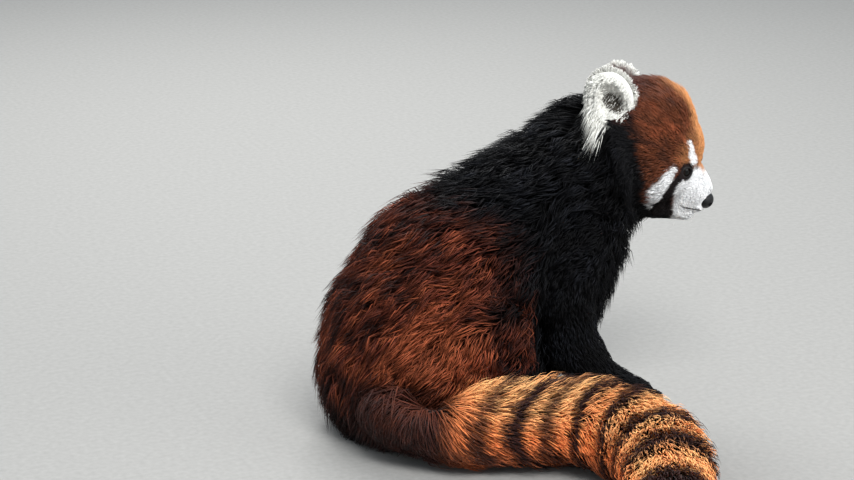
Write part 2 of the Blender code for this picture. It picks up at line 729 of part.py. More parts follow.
def ear_locks(side, grow):
    """Locks round the rim of an ear, long ones hanging at its lower back edge, grown by a distance."""
    chance = random.Random(SEED + side)
    frame = ear_frame(side)
    turn = head_matrix().to_3x3()
    down = (turn @ Vector((EAR_HANG.x, side * EAR_HANG.y, EAR_HANG.z))).normalized()
    open_way = (frame.to_3x3() @ Vector((1, 0, 0))).normalized()
    length, width, thick = EAR_LOCK
    locks = []
    for degrees, share in EAR_TUFTS:
        a = math.radians(degrees)
        rim = Vector((0.0, side * math.sin(a) * EAR_OUTER.y, math.cos(a) * EAR_OUTER.z))
        out = (frame.to_3x3() @ rim).normalized()
        reach = length * share * chance.uniform(0.92, 1.08)
        wide = width * (0.7 + 0.3 * share)
        heading = (out * 0.7 + down * (share - 0.3)).normalized()
        spot = frame @ (rim * EAR_ROOTING) + open_way * EAR_FORWARD - heading * EAR_FORWARD
        rows, before = [], 0.0
        for step, part in zip(LOCK_STEPS, LOCK_WIDTHS):
            spot = spot + heading * (step - before) * reach
            heading = (heading + down * EAR_DROOP * (step - before)).normalized()
            before = step
            across = heading.cross(open_way).normalized()
            above = across.cross(heading)
            across *= wide * part / 2 + grow
            above *= thick * part / 2 + grow
            start = spot - heading * (grow if step == 0.0 else 0.0)
            rows.append((start - across, start + above, start + across, start - above))
        locks.append(blade(rows, spot + heading * ((1 - before) * reach + 2 * grow)))
    return locks


def ear_socket(thing, side):
    """Cuts a neighbour clear of an ear and its tufts."""
    boolean(thing, "DIFFERENCE", ear_outer(side, GAP))
    for tuft in ear_locks(side, GAP):
        boolean(thing, "DIFFERENCE", tuft)


def make_ear(name, side):
    """One ear: a cup hollowed from its outer form, with tufts on its rim."""
    ear = ear_outer(side, 0.0)
    bm = bmesh.new()
    add_globe(bm, ear_frame(side) @ Matrix.Translation((EAR_HOLLOW_SHIFT, 0, 0)), EAR_HOLLOW, EAR_SIDES)
    boolean(ear, "DIFFERENCE", object_from("hollow", bm))
    joined(ear, ear_locks(side, 0.0))
    ear.name = name
    return ear


def eye_frame(side):
    """An eye's own axes in the world: its aim, across and up."""
    aim = Vector((EYE_AIM.x, side * EYE_AIM.y, EYE_AIM.z)).normalized()
    across = Vector((0, 0, 1)).cross(aim).normalized()
    turn = Matrix((aim, across, aim.cross(across))).transposed().to_4x4()
    return head_matrix() @ Matrix.Translation((EYE_CENTRE.x, side * EYE_CENTRE.y, EYE_CENTRE.z)) @ turn


def eye_ball(name, side, grow):
    """An eyeball, grown by a distance."""
    bm = bmesh.new()
    radius = EYE_RADIUS + grow
    add_globe(bm, eye_frame(side), (radius, radius, radius), EYE_SIDES)
    return object_from(name, bm)


def eye_slit(side):
    """The almond opening between the lids."""
    bm = bmesh.new()
    ahead = Matrix.Translation((EYE_RADIUS + LID_THICKNESS, 0, 0))
    add_ball(bm, (0, 0, 0), (EYE_RADIUS * 0.75, *EYE_SLIT), eye_frame(side) @ ahead, 2)
    return object_from("slit", bm)


def nose_pad(name, grow):
    """The nose pad, grown by a distance."""
    bm = bmesh.new()
    frame = head_matrix() @ Matrix.Translation(NOSE_CENTRE)
    add_globe(bm, frame, NOSE_RADII + Vector((grow, grow, grow)), NOSE_SIDES)
    return object_from(name, bm)


def make_nose():
    """The nose pad with its nostrils."""
    nose = nose_pad("nose", 0.0)
    for side in (1, -1):
        bm = bmesh.new()
        x, y, z = NOSTRIL_CENTRE
        add_ball(bm, (x, side * y, z), NOSTRIL_RADII, head_matrix(), 2)
        boolean(nose, "DIFFERENCE", object_from("nostril", bm))
    return nose


def mouth_groove(head):
    """A thin tube along the line of the mouth from corner to corner, on the head's own surface."""
    tree = tree_of(head)
    frame = head_matrix()
    line = [Vector((x, -y, z)) for x, y, z in MOUTH_LINE[:0:-1]] + [Vector(p) for p in MOUTH_LINE]
    bm = bmesh.new()
    loops = []
    spots = [tree.find_nearest(frame @ point) for point in line]
    for k, (spot, normal, _, _) in enumerate(spots):
        ahead = (spots[min(k + 1, len(spots) - 1)][0] - spots[max(k - 1, 0)][0]).normalized()
        across = ahead.cross(normal).normalized()
        radius = MOUTH_GROOVE * (0.45 if k in (0, len(spots) - 1) else 1.0)
        loop = []
        for j in range(6):
            a = 2 * math.pi * j / 6
            loop.append(bm.verts.new(spot + radius * (across * math.cos(a) + normal * math.sin(a) * 1.3)))
        loops.append(loop)
    for near, far in zip(loops, loops[1:]):
        for j in range(6):
            i = (j + 1) % 6
            bm.faces.new((near[j], near[i], far[i], far[j]))
    bm.faces.new(loops[0][::-1])
    bm.faces.new(loops[-1])
    bmesh.ops.recalc_face_normals(bm, faces=bm.faces)
    return object_from("groove", bm)


def head_plane():
    """The plane between neck and head, in the world."""
    frame = head_matrix()
    point, normal = HEAD_CUT
    return frame @ point, (frame.to_3x3() @ normal).normalized()


def make_head(chance):
    """The head ahead of the neck, with lids, mouth and ruff, and with sockets for ears, eyes and nose."""
    bm = bmesh.new()
    add_head(bm)
    add_chain(bm, TORSO_CHAIN[3:])
    add_chain(bm, BELLY_CHAIN[2:])
    head = fused("head", bm, HEAD_VOXEL, 8, HEAD_FACES * 3)
    point, normal = head_plane()
    boolean(head, "INTERSECT", box_ahead("ahead", point, normal, -HEAD_SPARE, FLOOR))
    thin = head.modifiers.new("thin", "DECIMATE")
    thin.ratio = HEAD_FACES / len(head.data.polygons)
    thin.use_collapse_triangulate = True
    applied(head)
    locks = ruff_locks(head, chance)
    boolean(head, "DIFFERENCE", mouth_groove(head))
    for side in (1, -1):
        boolean(head, "UNION", eye_ball("lid", side, GAP + LID_THICKNESS))
    joined(head, locks)
    boolean(head, "DIFFERENCE", nose_pad("nose_socket", GAP))
    for side in (1, -1):
        ear_socket(head, side)
        boolean(head, "DIFFERENCE", eye_ball("eye_socket", side, GAP))
        boolean(head, "DIFFERENCE", eye_slit(side))
    boolean(head, "INTERSECT", box_ahead("ahead", point, normal, GAP / 2, FLOOR))
    return head


def leg_cell(outline, inner, side, grow):
    """The room of a leg on one side, grown by a distance."""
    low = FLOOR if grow == 0.0 else FLOOR - BELOW
    return side_prism("cell", grown(outline(low), grow), inner - grow, side)


def make_body(nodes, chance):
    """Neck, chest, torso and legs, parted from one body with its locks."""
    bm = bmesh.new()
    add_trunk(bm)
    whole = fused("whole", bm, BODY_VOXEL, 6, BODY_FACES)
    joined(whole, body_locks(whole, chance))
    point, normal = head_plane()
    neck_point, neck_normal = NECK_CUT
    chest_point, chest_normal = CHEST_CUT
    neck = copy_of(whole, "neck")
    boolean(neck, "INTERSECT", box_ahead("ahead", neck_point, neck_normal, GAP / 2, FLOOR))
    boolean(neck, "DIFFERENCE", box_ahead("past", point, normal, -GAP / 2, -1.0))
    for side in (1, -1):
        ear_socket(neck, side)
    nodes["neck"] = neck
    trunk = copy_of(whole, "trunk")
    boolean(trunk, "INTERSECT", box_ahead("above", (0, 0, FLOOR), (0, 0, 1), 0.0, FLOOR))
    boolean(trunk, "DIFFERENCE", box_ahead("past", neck_point, neck_normal, -GAP / 2, -1.0))
    boolean(trunk, "DIFFERENCE", tail_clearance())
    for side, word in ((1, "left"), (-1, "right")):
        name = f"hindleg_{word}"
        leg = copy_of(whole, name)
        boolean(leg, "INTERSECT", leg_cell(hind_outline, HIND_INNER, side, 0.0))
        boolean(leg, "DIFFERENCE", leg_cell(foot_outline, HIND_INNER, side, GAP))
        nodes[name] = leg
        for outline, inner in ((hind_outline, HIND_INNER), (fore_outline, FORE_INNER)):
            boolean(trunk, "DIFFERENCE", leg_cell(outline, inner, side, GAP))
    boolean(nodes["hindleg_right"], "DIFFERENCE", tail_clearance())
    chest = copy_of(trunk, "chest")
    boolean(chest, "INTERSECT", box_ahead("ahead", chest_point, chest_normal, GAP / 2, -1.0))
    for side in (1, -1):
        ear_socket(chest, side)
    boolean(trunk, "DIFFERENCE", box_ahead("past", chest_point, chest_normal, -GAP / 2, -1.0))
    nodes["chest"] = chest
    trunk.name = "torso"
    nodes["torso"] = trunk
    bpy.data.objects.remove(whole, do_unlink=True)


def make_feet(nodes):
    """Forelegs, paws and hind feet, from a finer skin with toes and claws."""
    bm = bmesh.new()
    add_trunk(bm)
    for side in (1, -1):
        add_toes(bm, HIND_CHAIN, side)
        add_toes(bm, FORE_CHAIN, side)
    whole = fused("limbs", bm, LEG_VOXEL, 3, LEG_FACES)
    wrist_point, wrist_normal = WRIST_CUT
    for side, word in ((1, "left"), (-1, "right")):
        leg = copy_of(whole, f"foreleg_{word}")
        boolean(leg, "INTERSECT", leg_cell(fore_outline, FORE_INNER, side, 0.0))
        paw = copy_of(leg, f"forepaw_{word}")
        boolean(leg, "DIFFERENCE", box_ahead("past", wrist_point, wrist_normal, -GAP / 2, -1.0))
        boolean(paw, "INTERSECT", box_ahead("ahead", wrist_point, wrist_normal, GAP / 2, -1.0))
        foot = copy_of(whole, f"hindfoot_{word}")
        boolean(foot, "INTERSECT", leg_cell(hind_outline, HIND_INNER, side, 0.0))
        boolean(foot, "INTERSECT", leg_cell(foot_outline, HIND_INNER, side, 0.0))
        joined(paw, [claw(FORE_CHAIN, side, k) for k in range(TOES)])
        joined(foot, [claw(HIND_CHAIN, side, k) for k in range(TOES)])
        nodes[leg.name], nodes[paw.name], nodes[foot.name] = leg, paw, foot
    bpy.data.objects.remove(whole, do_unlink=True)
    for name in ("hindfoot_right", "foreleg_right", "forepaw_right"):
        boolean(nodes[name], "DIFFERENCE", tail_clearance())


def make_tail(nodes, chance):
    """The tail in a few lengths, each with a thin gap to the next and laid on the floor."""
    half = 0.5 * GAP / tail_length()
    steps = [t for t in tail_steps(0, TAIL_NODES) if t <= TAIL_CORE_END]
    whole = tail_tube("whole_tail", steps, 0.0, 0.0)
    joined(whole, tail_locks(chance))
    for k in range(TAIL_NODES):
        name = f"tail_{k + 1}"
        nodes[name] = copy_of(whole, name)
        beyond = TAIL_TUFT * 1.2 if k == TAIL_NODES - 1 else 0.0
        room = tail_tube("room", tail_steps(k, k + 1, half), TAIL_MARGIN, 1.0, 0.0, beyond)
        boolean(nodes[name], "INTERSECT", room)
        boolean(nodes[name], "INTERSECT", box_ahead("above", (0, 0, FLOOR), (0, 0, 1), 0.0, FLOOR))
    bpy.data.objects.remove(whole, do_unlink=True)


def tail_clearance():
    """The room that the tail takes, with its gap to the body."""
    grow = TAIL_MARGIN + GAP
    return tail_tube("clear", tail_steps(0, TAIL_NODES), grow, 1.0, GAP, TAIL_TUFT * 1.2 + GAP)


def keep_largest(thing):
    """Keeps only the closed surface with the most faces."""
    bm = bmesh.new()
    bm.from_mesh(thing.data)
    islands, seen = [], set()
    for first in bm.faces:
        if first in seen:
            continue
        island, queue = [], [first]
        seen.add(first)
        while queue:
            face = queue.pop()
            island.append(face)
            for edge in face.edges:
                for other in edge.link_faces if len(edge.link_faces) == 2 else ():
                    if other not in seen:
                        seen.add(other)
                        queue.append(other)
        islands.append(island)
    islands.sort(key=len)
    for island in islands[:-1]:
        bmesh.ops.delete(bm, geom=island, context="FACES")
    bmesh.ops.triangulate(bm, faces=bm.faces)
    bm.to_mesh(thing.data)
    bm.free()


def finish(nodes):
    """Cleans each piece, moves it to the origin's frame and gives it its finish."""
    finishes = {"neck": BLACK, "torso": RUFOUS, "head": FACE, "nose": NOSE_COLOUR}
    for name, thing in nodes.items():
        keep_largest(thing)
        thing.data.transform(Matrix.Translation(-CENTRE))
        look = finishes.get(name, BLACK)
        if name.startswith("tail"):
            look = TAIL_COLOUR
        if name.startswith("ear"):
            look = CREAM
        if name.startswith("eye"):
            look = EYE_COLOUR
        thing.data.materials.clear()
        thing.data.materials.append(material(name, look))
        thing.data.shade_smooth()
        thing.data.set_sharp_from_angle(angle=math.radians(50))
        thing.data.name = name


def main():
    """Builds the animal."""
    clear_scene()
    chance = random.Random(SEED)
    nodes = {"head": make_head(chance), "nose": make_nose()}
    make_body(nodes, chance)
    make_feet(nodes)
    make_tail(nodes, chance)
    for side, word in ((1, "left"), (-1, "right")):
        nodes[f"ear_{word}"] = make_ear(f"ear_{word}", side)
        nodes[f"eye_{word}"] = eye_ball(f"eye_{word}", side, 0.0)
    finish(nodes)


main()
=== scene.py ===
"""Red panda figure, dressed: one skin under a coat of mesh tufts, with eyes, lids, nose, mouth, claws and whiskers.

It sits on its haunches with its head turned to its right and its ringed tail laid on the floor. Every piece is
made where the driving measures of the solids have it, and then moved to their frame. Lengths are metres, +X is
the way the body faces, +Y its left and +Z up.
"""

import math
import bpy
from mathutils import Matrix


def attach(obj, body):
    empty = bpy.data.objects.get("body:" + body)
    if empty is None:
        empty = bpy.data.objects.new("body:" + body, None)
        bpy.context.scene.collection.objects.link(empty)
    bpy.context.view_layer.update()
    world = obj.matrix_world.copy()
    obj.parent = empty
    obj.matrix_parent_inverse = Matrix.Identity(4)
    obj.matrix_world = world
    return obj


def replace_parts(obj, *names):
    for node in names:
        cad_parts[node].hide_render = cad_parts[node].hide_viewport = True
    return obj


bl_info = {
    "name": "Red panda figure",
    "version": (1, 0, 0),
    "blender": (4, 5, 0),
    "location": "3D View > Sidebar > Red panda",
    "description": "Dresses the solids of a sitting red panda with skin, coat, face and claws",
    "category": "Add Mesh",
}

import bmesh
import bpy
import numpy as np
from mathutils import Matrix, Vector
from mathutils.bvhtree import BVHTree
from mathutils.kdtree import KDTree

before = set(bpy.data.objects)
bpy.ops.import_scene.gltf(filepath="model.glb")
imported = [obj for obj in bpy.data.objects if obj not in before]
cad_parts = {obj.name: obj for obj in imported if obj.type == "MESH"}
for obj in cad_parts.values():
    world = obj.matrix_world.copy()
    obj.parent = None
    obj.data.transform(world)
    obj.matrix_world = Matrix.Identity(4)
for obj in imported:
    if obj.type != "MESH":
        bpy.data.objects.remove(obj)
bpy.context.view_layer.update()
FLESH = [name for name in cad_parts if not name.startswith(("eye", "nose"))]

# Where the measures below stand in the frame of the solids, and the lowest that the coat comes
CENTRE = Vector((0.01917, -0.14049, 0.0))
LOWEST = 0.0006

# Chains of x, y, z, radius, width factor and half the coat's depth, on the right side; radii reach the coat's tips
TORSO_CHAIN = [
    (-0.088, 0.000, 0.058, 0.096, 1.02, 0.012),
    (-0.078, 0.000, 0.090, 0.101, 1.00, 0.012),
    (-0.046, 0.000, 0.143, 0.100, 0.98, 0.013),
    (0.013, 0.000, 0.182, 0.087, 1.00, 0.013),
    (0.072, 0.000, 0.221, 0.077, 0.95, 0.012),
    (0.114, -0.003, 0.249, 0.074, 0.86, 0.009),
    (0.146, -0.009, 0.262, 0.064, 0.86, 0.003),
]
BELLY_CHAIN = [
    (-0.030, 0.000, 0.080, 0.080, 1.00, 0.010),
    (0.050, 0.000, 0.084, 0.061, 1.00, 0.009),
    (0.066, 0.000, 0.142, 0.071, 0.95, 0.010),
    (0.088, -0.002, 0.200, 0.069, 0.98, 0.010),
]
HIND_CHAIN = [
    (-0.080, -0.058, 0.074, 0.059, 1.00, 0.009),
    (-0.052, -0.070, 0.105, 0.052, 0.95, 0.009),
    (-0.032, -0.082, 0.122, 0.038, 0.95, 0.008),
    (-0.030, -0.083, 0.075, 0.037, 0.90, 0.007),
    (-0.040, -0.083, 0.030, 0.029, 0.90, 0.004),
    (-0.008, -0.084, 0.018, 0.021, 1.00, 0.001),
    (0.034, -0.085, 0.013, 0.018, 1.15, 0.001),
]
FORE_CHAIN = [
    (0.060, -0.040, 0.185, 0.046, 0.90, 0.006),
    (0.050, -0.050, 0.130, 0.038, 0.95, 0.003),
    (0.060, -0.051, 0.085, 0.031, 0.95, 0.001),
    (0.092, -0.050, 0.040, 0.024, 1.00, 0.001),
    (0.126, -0.049, 0.020, 0.0195, 1.05, 0.001),
    (0.142, -0.049, 0.015, 0.0160, 1.15, 0.001),
]
TAIL_CHAIN = [
    (-0.140, -0.040, 0.056, 0.030),
    (-0.134, -0.078, 0.048, 0.034),
    (-0.108, -0.110, 0.044, 0.038),
    (-0.068, -0.130, 0.044, 0.041),
    (-0.024, -0.146, 0.045, 0.044),
    (0.014, -0.168, 0.046, 0.046),
    (0.036, -0.206, 0.046, 0.047),
    (0.040, -0.252, 0.046, 0.047),
    (0.028, -0.300, 0.045, 0.045),
    (0.008, -0.344, 0.043, 0.041),
    (-0.012, -0.380, 0.038, 0.033),
    (-0.022, -0.400, 0.031, 0.017),
]
TAIL_LOFT, TAIL_SAMPLES, TAIL_END = 0.0110, 44, 0.885
NAP, THINNEST = 0.0018, 0.0055
TOES, TOE_RADIUS, TOE_REACH, TOE_FAN = 4, 0.0072, 0.0090, 110
CLAW_LENGTH, CLAW_RADIUS, CLAW_LIFT = 0.0115, 0.0015, 1.15
CLAW_PATH = [(-0.30, 0.02, 1.0), (0.05, 0.06, 1.0), (0.38, 0.04, 0.85), (0.70, -0.10, 0.6), (1.0, -0.40, 0.12)]

# Head, in its own frame: forward, left and up from the middle of the skull
HEAD_CENTRE = Vector((0.1615, -0.012, 0.2655))
HEAD_TURN, HEAD_PITCH, HEAD_ROLL = math.radians(-40), math.radians(20), math.radians(-9)
HEAD_CUT = (Vector((-0.014, 0.0, -0.009)), Vector((0.806, 0.0, 0.592)))
HEAD_REACH, HEAD_LOW = 0.115, 0.155
HEAD_BALLS = [
    ((-0.002, 0.0, 0.004), (0.058, 0.054, 0.059), 0.0060),
    ((0.028, 0.0, 0.006), (0.035, 0.040, 0.037), 0.0045),
    ((0.010, 0.0, -0.030), (0.045, 0.044, 0.037), 0.0050),
]
HEAD_PAIRS = [
    ((0.014, 0.034, -0.026), (0.034, 0.024, 0.030), 0.0045),
    ((0.050, 0.017, 0.003), (0.012, 0.011, 0.010), 0.0025),
    ((0.030, 0.022, -0.018), (0.030, 0.024, 0.030), 0.0030),
]
MUZZLE_CHAIN = [
    (0.048, 0.0, -0.020, 0.026, 1.00, 0.0),
    (0.065, 0.0, -0.024, 0.0185, 1.05, 0.0),
    (0.073, 0.0, -0.0285, 0.0118, 1.20, 0.0),
]
LIP_CHAIN = [
    (0.048, 0.0, -0.036, 0.019, 1.15, 0.0),
    (0.068, 0.0, -0.037, 0.010, 1.45, 0.0),
    (0.075, 0.0, -0.037, 0.008, 1.30, 0.0),
]
JAW_CHAIN = [
    (0.022, 0.0, -0.046, 0.022, 1.30, 0.0),
    (0.050, 0.0, -0.049, 0.0135, 1.25, 0.0),
    (0.067, 0.0, -0.049, 0.0075, 1.35, 0.0),
]
MUZZLE_NAP = 0.0012
EYE_CENTRE = Vector((0.0484, 0.0240, -0.0085))
EYE_RADIUS, LID_THICKNESS, EYE_GAP = 0.0075, 0.0013, 0.0002
EYE_AIM = Vector((0.74, 0.66, 0.08))
EYE_SLIT = (0.0056, 0.0068, 0.0052)
NOSE_CENTRE, NOSE_RADII = Vector((0.0795, 0.0, -0.0300)), Vector((0.0078, 0.0102, 0.0085))
NOSTRIL_CENTRE, NOSTRIL_RADII = (0.0855, 0.0052, -0.0315), (0.0040, 0.0030, 0.0021)
MOUTH_GROOVE = 0.0011
EAR_CENTRE = Vector((-0.0400, 0.0430, 0.0310))
EAR_OPEN, EAR_UP = Vector((0.34, 0.92, 0.16)), Vector((-0.62, 0.20, 0.76))
EAR_OUTER, EAR_HOLLOW = Vector((0.0120, 0.0235, 0.0305)), Vector((0.0160, 0.0170, 0.0240))
EAR_HOLLOW_SHIFT, EAR_INSET = 0.0110, 0.0025
EAR_ROOT = (Vector((-0.0280, 0.0330, 0.0150)), Vector((0.0160, 0.0120, 0.0180)))
EAR_HANG = Vector((0.02, 0.42, -0.90))

# Skin mesh, camera and stage
SKIN_VOXEL, SKIN_ROUNDS, BALL_STEP = 0.0021, 7, 0.22
CAMERA_TURN, CAMERA_RISE, CAMERA_AWAY = math.radians(-25), math.radians(17), 2.5
CAMERA_AIM, CAMERA_LENS = (-0.063, 0.172), 105.39

# Which limb a point belongs to, and where each is unwrapped: left, low, width and height
TORSO, BELLY, HIND_LEFT, HIND_RIGHT, FORE_LEFT, FORE_RIGHT, TAIL, HEAD, EAR_LEFT, EAR_RIGHT = range(10)
CHARTS = [
    (0.00, 0.66, 0.50, 0.34),
    (0.50, 0.66, 0.28, 0.34),
    (0.00, 0.44, 0.28, 0.22),
    (0.28, 0.44, 0.28, 0.22),
    (0.56, 0.50, 0.22, 0.16),
    (0.78, 0.50, 0.22, 0.16),
    (0.00, 0.22, 0.56, 0.22),
    (0.56, 0.08, 0.42, 0.42),
    (0.78, 0.66, 0.22, 0.17),
    (0.78, 0.83, 0.22, 0.17),
]
PATCH = 0.003

# Along a tuft: where its rows of corners are, and how broad it is there
ROW_SHARES = {3: (0.0, 0.42, 0.78), 2: (0.0, 0.50)}
ROW_BREADTHS = {3: (0.60, 1.0, 0.66), 2: (0.75, 1.0)}

# Face marks in the head's frame: ends, with a radius at each, on the left side and mirrored
MARKS = {
    "cheek": [(0.041, 0.043, -0.010, 0.0058), (0.039, 0.046, -0.022, 0.0098), (0.036, 0.049, -0.036, 0.0110),
               (0.036, 0.038, -0.047, 0.0084), (0.036, 0.028, -0.053, 0.0060)],
    "stripe": [(0.051, 0.032, -0.008, 0.0070), (0.049, 0.038, -0.018, 0.0068), (0.047, 0.040, -0.030, 0.0074),
               (0.044, 0.031, -0.044, 0.0090), (0.044, 0.016, -0.053, 0.0110)],
    "brow": [(0.046, 0.029, 0.0190, 0.0034), (0.051, 0.026, 0.0120, 0.0048), (0.055, 0.024, 0.004, 0.0036)],
    "shade": [(-0.019, 0.054, 0.019, 0.012), (-0.008, 0.058, 0.006, 0.012), (-0.012, 0.064, -0.010, 0.012)],
    "mouth": [(0.083, 0.000, -0.0415, 0.0010), (0.080, 0.007, -0.0430, 0.0010), (0.073, 0.0125, -0.0450, 0.0010),
              (0.066, 0.0165, -0.0465, 0.0010), (0.060, 0.0200, -0.0450, 0.0008)],
}

# Tail rings: place along the tail on top and on the camera's side, half width and strength
TAIL_RINGS = [
    (0.300, 0.235, 0.016, 0.90),
    (0.385, 0.300, 0.018, 1.00),
    (0.435, 0.365, 0.014, 0.90),
    (0.490, 0.455, 0.016, 1.00),
    (0.550, 0.590, 0.020, 1.00),
    (0.660, 0.660, 0.022, 1.00),
    (0.755, 0.740, 0.024, 1.00),
    (0.880, 0.870, 0.034, 1.00),
]
RING_FACING = Vector((-0.42, -0.91, 0.0))


def srgb(red, green, blue):
    """A colour of 0 to 255 values as a shader has it."""
    return tuple(v / 12.92 if v <= 0.04045 else ((v + 0.055) / 1.055) ** 2.4 for v in (red / 255, green / 255, blue / 255))


def head_matrix():
    """Places head measures in the world."""
    turn = Matrix.Rotation(HEAD_TURN, 4, "Z") @ Matrix.Rotation(HEAD_PITCH, 4, "Y") @ Matrix.Rotation(HEAD_ROLL, 4, "X")
    return Matrix.Translation(HEAD_CENTRE) @ turn


def ear_frame(side):
    """The ear's own axes in the world: opening, width and height."""
    opening = Vector((EAR_OPEN.x, side * EAR_OPEN.y, EAR_OPEN.z)).normalized()
    up = Vector((EAR_UP.x, side * EAR_UP.y, EAR_UP.z))
    up = (up - opening * up.dot(opening)).normalized()
    turn = Matrix((opening, up.cross(opening), up)).transposed().to_4x4()
    return head_matrix() @ Matrix.Translation((EAR_CENTRE.x, side * EAR_CENTRE.y, EAR_CENTRE.z)) @ turn


def eye_frame(side):
    """An eye's own axes in the world: its aim, across and up."""
    aim = Vector((EYE_AIM.x, side * EYE_AIM.y, EYE_AIM.z)).normalized()
    across = Vector((0, 0, 1)).cross(aim).normalized()
    turn = Matrix((aim, across, aim.cross(across))).transposed().to_4x4()
    return head_matrix() @ Matrix.Translation((EYE_CENTRE.x, side * EYE_CENTRE.y, EYE_CENTRE.z)) @ turn


def tail_stations():
    """The tail as a fine chain of the same kind as the limbs, on a smooth curve through its stations."""
    rows = []
    last = len(TAIL_CHAIN) - 1
    for sample in range(TAIL_SAMPLES + 1):
        share = TAIL_END * sample / TAIL_SAMPLES
        k = min(int(share * last), last - 1)
        u = share * last - k
        p0, p1, p2, p3 = [np.array(TAIL_CHAIN[min(max(k + j, 0), last)]) for j in (-1, 0, 1, 2)]
        bend = (2 * p0 - 5 * p1 + 4 * p2 - p3) * u**2 + (3 * p1 - p0 - 3 * p2 + p3) * u**3
        spot = 0.5 * (2 * p1 + (p2 - p0) * u + bend)
        rows.append((*spot, 1.0, min(TAIL_LOFT, (spot[3] - NAP - THINNEST) / 2)))
    return rows


def sided(stations, side):
    """A chain of the right side, or mirrored to the left for side 1."""
    return [(x, -side * y, *rest) for x, y, *rest in stations]


def limbs():
    """Every limb's chain, in the order of the limb numbers."""
    return [TORSO_CHAIN, BELLY_CHAIN, sided(HIND_CHAIN, 1), sided(HIND_CHAIN, -1), sided(FORE_CHAIN, 1),
            sided(FORE_CHAIN, -1), tail_stations()]


def skin_radius(radius, loft):
    """How far the skin stands from a chain under the coat."""
    return max(radius - 2 * loft - NAP, THINNEST)


def in_frame(matrix, points):
    """World points in a frame's own measures."""
    turn = np.array(matrix.inverted())
    return points @ turn[:3, :3].T + turn[:3, 3]


def in_world(matrix, vectors):
    """Directions of a frame in the world."""
    return vectors @ np.array(matrix)[:3, :3].T


def unit(vectors):
    """Vectors of length one."""
    return vectors / np.maximum(np.linalg.norm(vectors, axis=-1, keepdims=True), 1e-9)


def smooth(low, high, value):
    """A soft step from 0 at low to 1 at high."""
    t = np.clip((value - low) / (high - low), 0.0, 1.0)
    return t * t * (3 - 2 * t)


def noise(points, size, seed):
    """Smooth noise from -1 to 1 whose features have a size."""
    place = points / size + 512.0
    cell = np.floor(place).astype(np.int64)
    part = place - cell
    part = part * part * (3 - 2 * part)
    total = np.zeros(len(points))
    for corner in range(8):
        step = np.array((corner & 1, corner >> 1 & 1, corner >> 2))
        x, y, z = (cell + step).T
        mixed = (x * 73856093) ^ (y * 19349663) ^ (z * 83492791) ^ (seed * 668265263)
        mixed = (mixed ^ (mixed >> 13)) * 1274126177 & 0xFFFFFF
        total += np.prod(np.where(step, part, 1 - part), axis=1) * (mixed / 0x7FFFFF - 1)
    return total


def survey(points, only=None):
    """Reads each point's limb, or its place along one limb only, its share along it, the angle round it, the coat's depth and the limb's course."""
    count = len(points)
    best = np.full(count, 1e9)
    found = {"limb": np.zeros(count, int), "share": np.zeros(count), "angle": np.zeros(count),
             "depth": np.zeros(count), "course": np.zeros((count, 3)), "out": np.zeros((count, 3))}
    for number, rows in enumerate(limbs()):
        if only not in (None, number):
            continue
        rows = np.array(rows)
        lengths = np.linalg.norm(np.diff(rows[:, :3], axis=0), axis=1)
        starts = np.concatenate(((0.0,), np.cumsum(lengths)))
        for k, (a, b) in enumerate(zip(rows, rows[1:])):
            way = b[:3] - a[:3]
            t = np.clip((points - a[:3]) @ way / (way @ way), 0, 1)
            away = points - a[:3] - t[:, None] * way
            under = [skin_radius(r, loft) for r, loft in (a[[3, 5]], b[[3, 5]])]
            gap = np.linalg.norm(away, axis=1) - under[0] - t * (under[1] - under[0])
            near = gap < best
            best[near] = gap[near]
            ahead = way / np.linalg.norm(way)
            across = unit(np.cross(ahead, (0.0, 0.0, 1.0)) + (1e-6, 0.0, 0.0))
            above = np.cross(across, ahead)
            found["limb"][near] = number
            share = (starts[k] + t * lengths[k]) / starts[-1]
            found["share"][near] = (share * TAIL_END if number == TAIL else share)[near]
            found["angle"][near] = np.arctan2(away @ above, away @ across)[near]
            found["depth"][near] = (2 * (a[5] + t * (b[5] - a[5])) + NAP)[near]
            found["course"][near] = ahead
            found["out"][near] = unit(away)[near]
    local = found["local"] = in_frame(head_matrix(), points)
    if only is not None:
        return found
    point, normal = np.array(HEAD_CUT[0]), np.array(HEAD_CUT[1])
    near_head = np.linalg.norm(local, axis=1) < HEAD_REACH
    head = ((local - point) @ normal > 0) & near_head & (points[:, 2] > HEAD_LOW)
    found["limb"][head] = HEAD
    found["share"][head] = (np.arccos(np.clip(unit(local)[:, 0], -1, 1)) / math.pi)[head]
    found["angle"][head] = np.arctan2(local[:, 2], local[:, 1])[head]
    found["depth"][head] = (0.0052 - 0.0034 * smooth(0.030, 0.054, local[:, 0]))[head]
    for number, side in ((EAR_LEFT, 1), (EAR_RIGHT, -1)):
        spot = in_frame(ear_frame(side), points)
        ear = np.linalg.norm(spot / (np.array(EAR_OUTER) * 1.06), axis=1) < 1
        found["limb"][ear] = number
        inner = np.linalg.norm((spot - (EAR_HOLLOW_SHIFT, 0, 0)) / (np.array(EAR_HOLLOW) * 1.05), axis=1) < 1
        found["share"][ear] = (spot[:, 1] * 14 + np.where(inner, 0.74, 0.26))[ear]
        found["angle"][ear] = (spot[:, 2] * 80)[ear]
        found["depth"][ear] = 0.0032
    return found


def unwrapped(found):
    """Where surveyed points lie in the unwrap of the skin."""
    chart = np.array(CHARTS)[found["limb"]]
    head = found["limb"] == HEAD
    across, up = found["share"], found["angle"] / (2 * math.pi) + 0.5
    round_head = 0.5 + 0.5 * found["share"] * np.cos(found["angle"])
    rise_head = 0.5 + 0.5 * found["share"] * np.sin(found["angle"])
    across = np.where(head, round_head, across)
    up = np.where(head, rise_head, up)
    place = np.stack((0.05 + 0.90 * np.clip(across, 0, 1), 0.07 + 0.86 * np.clip(up, -0.05, 1.05)), axis=1)
    return chart[:, :2] + place * chart[:, 2:]


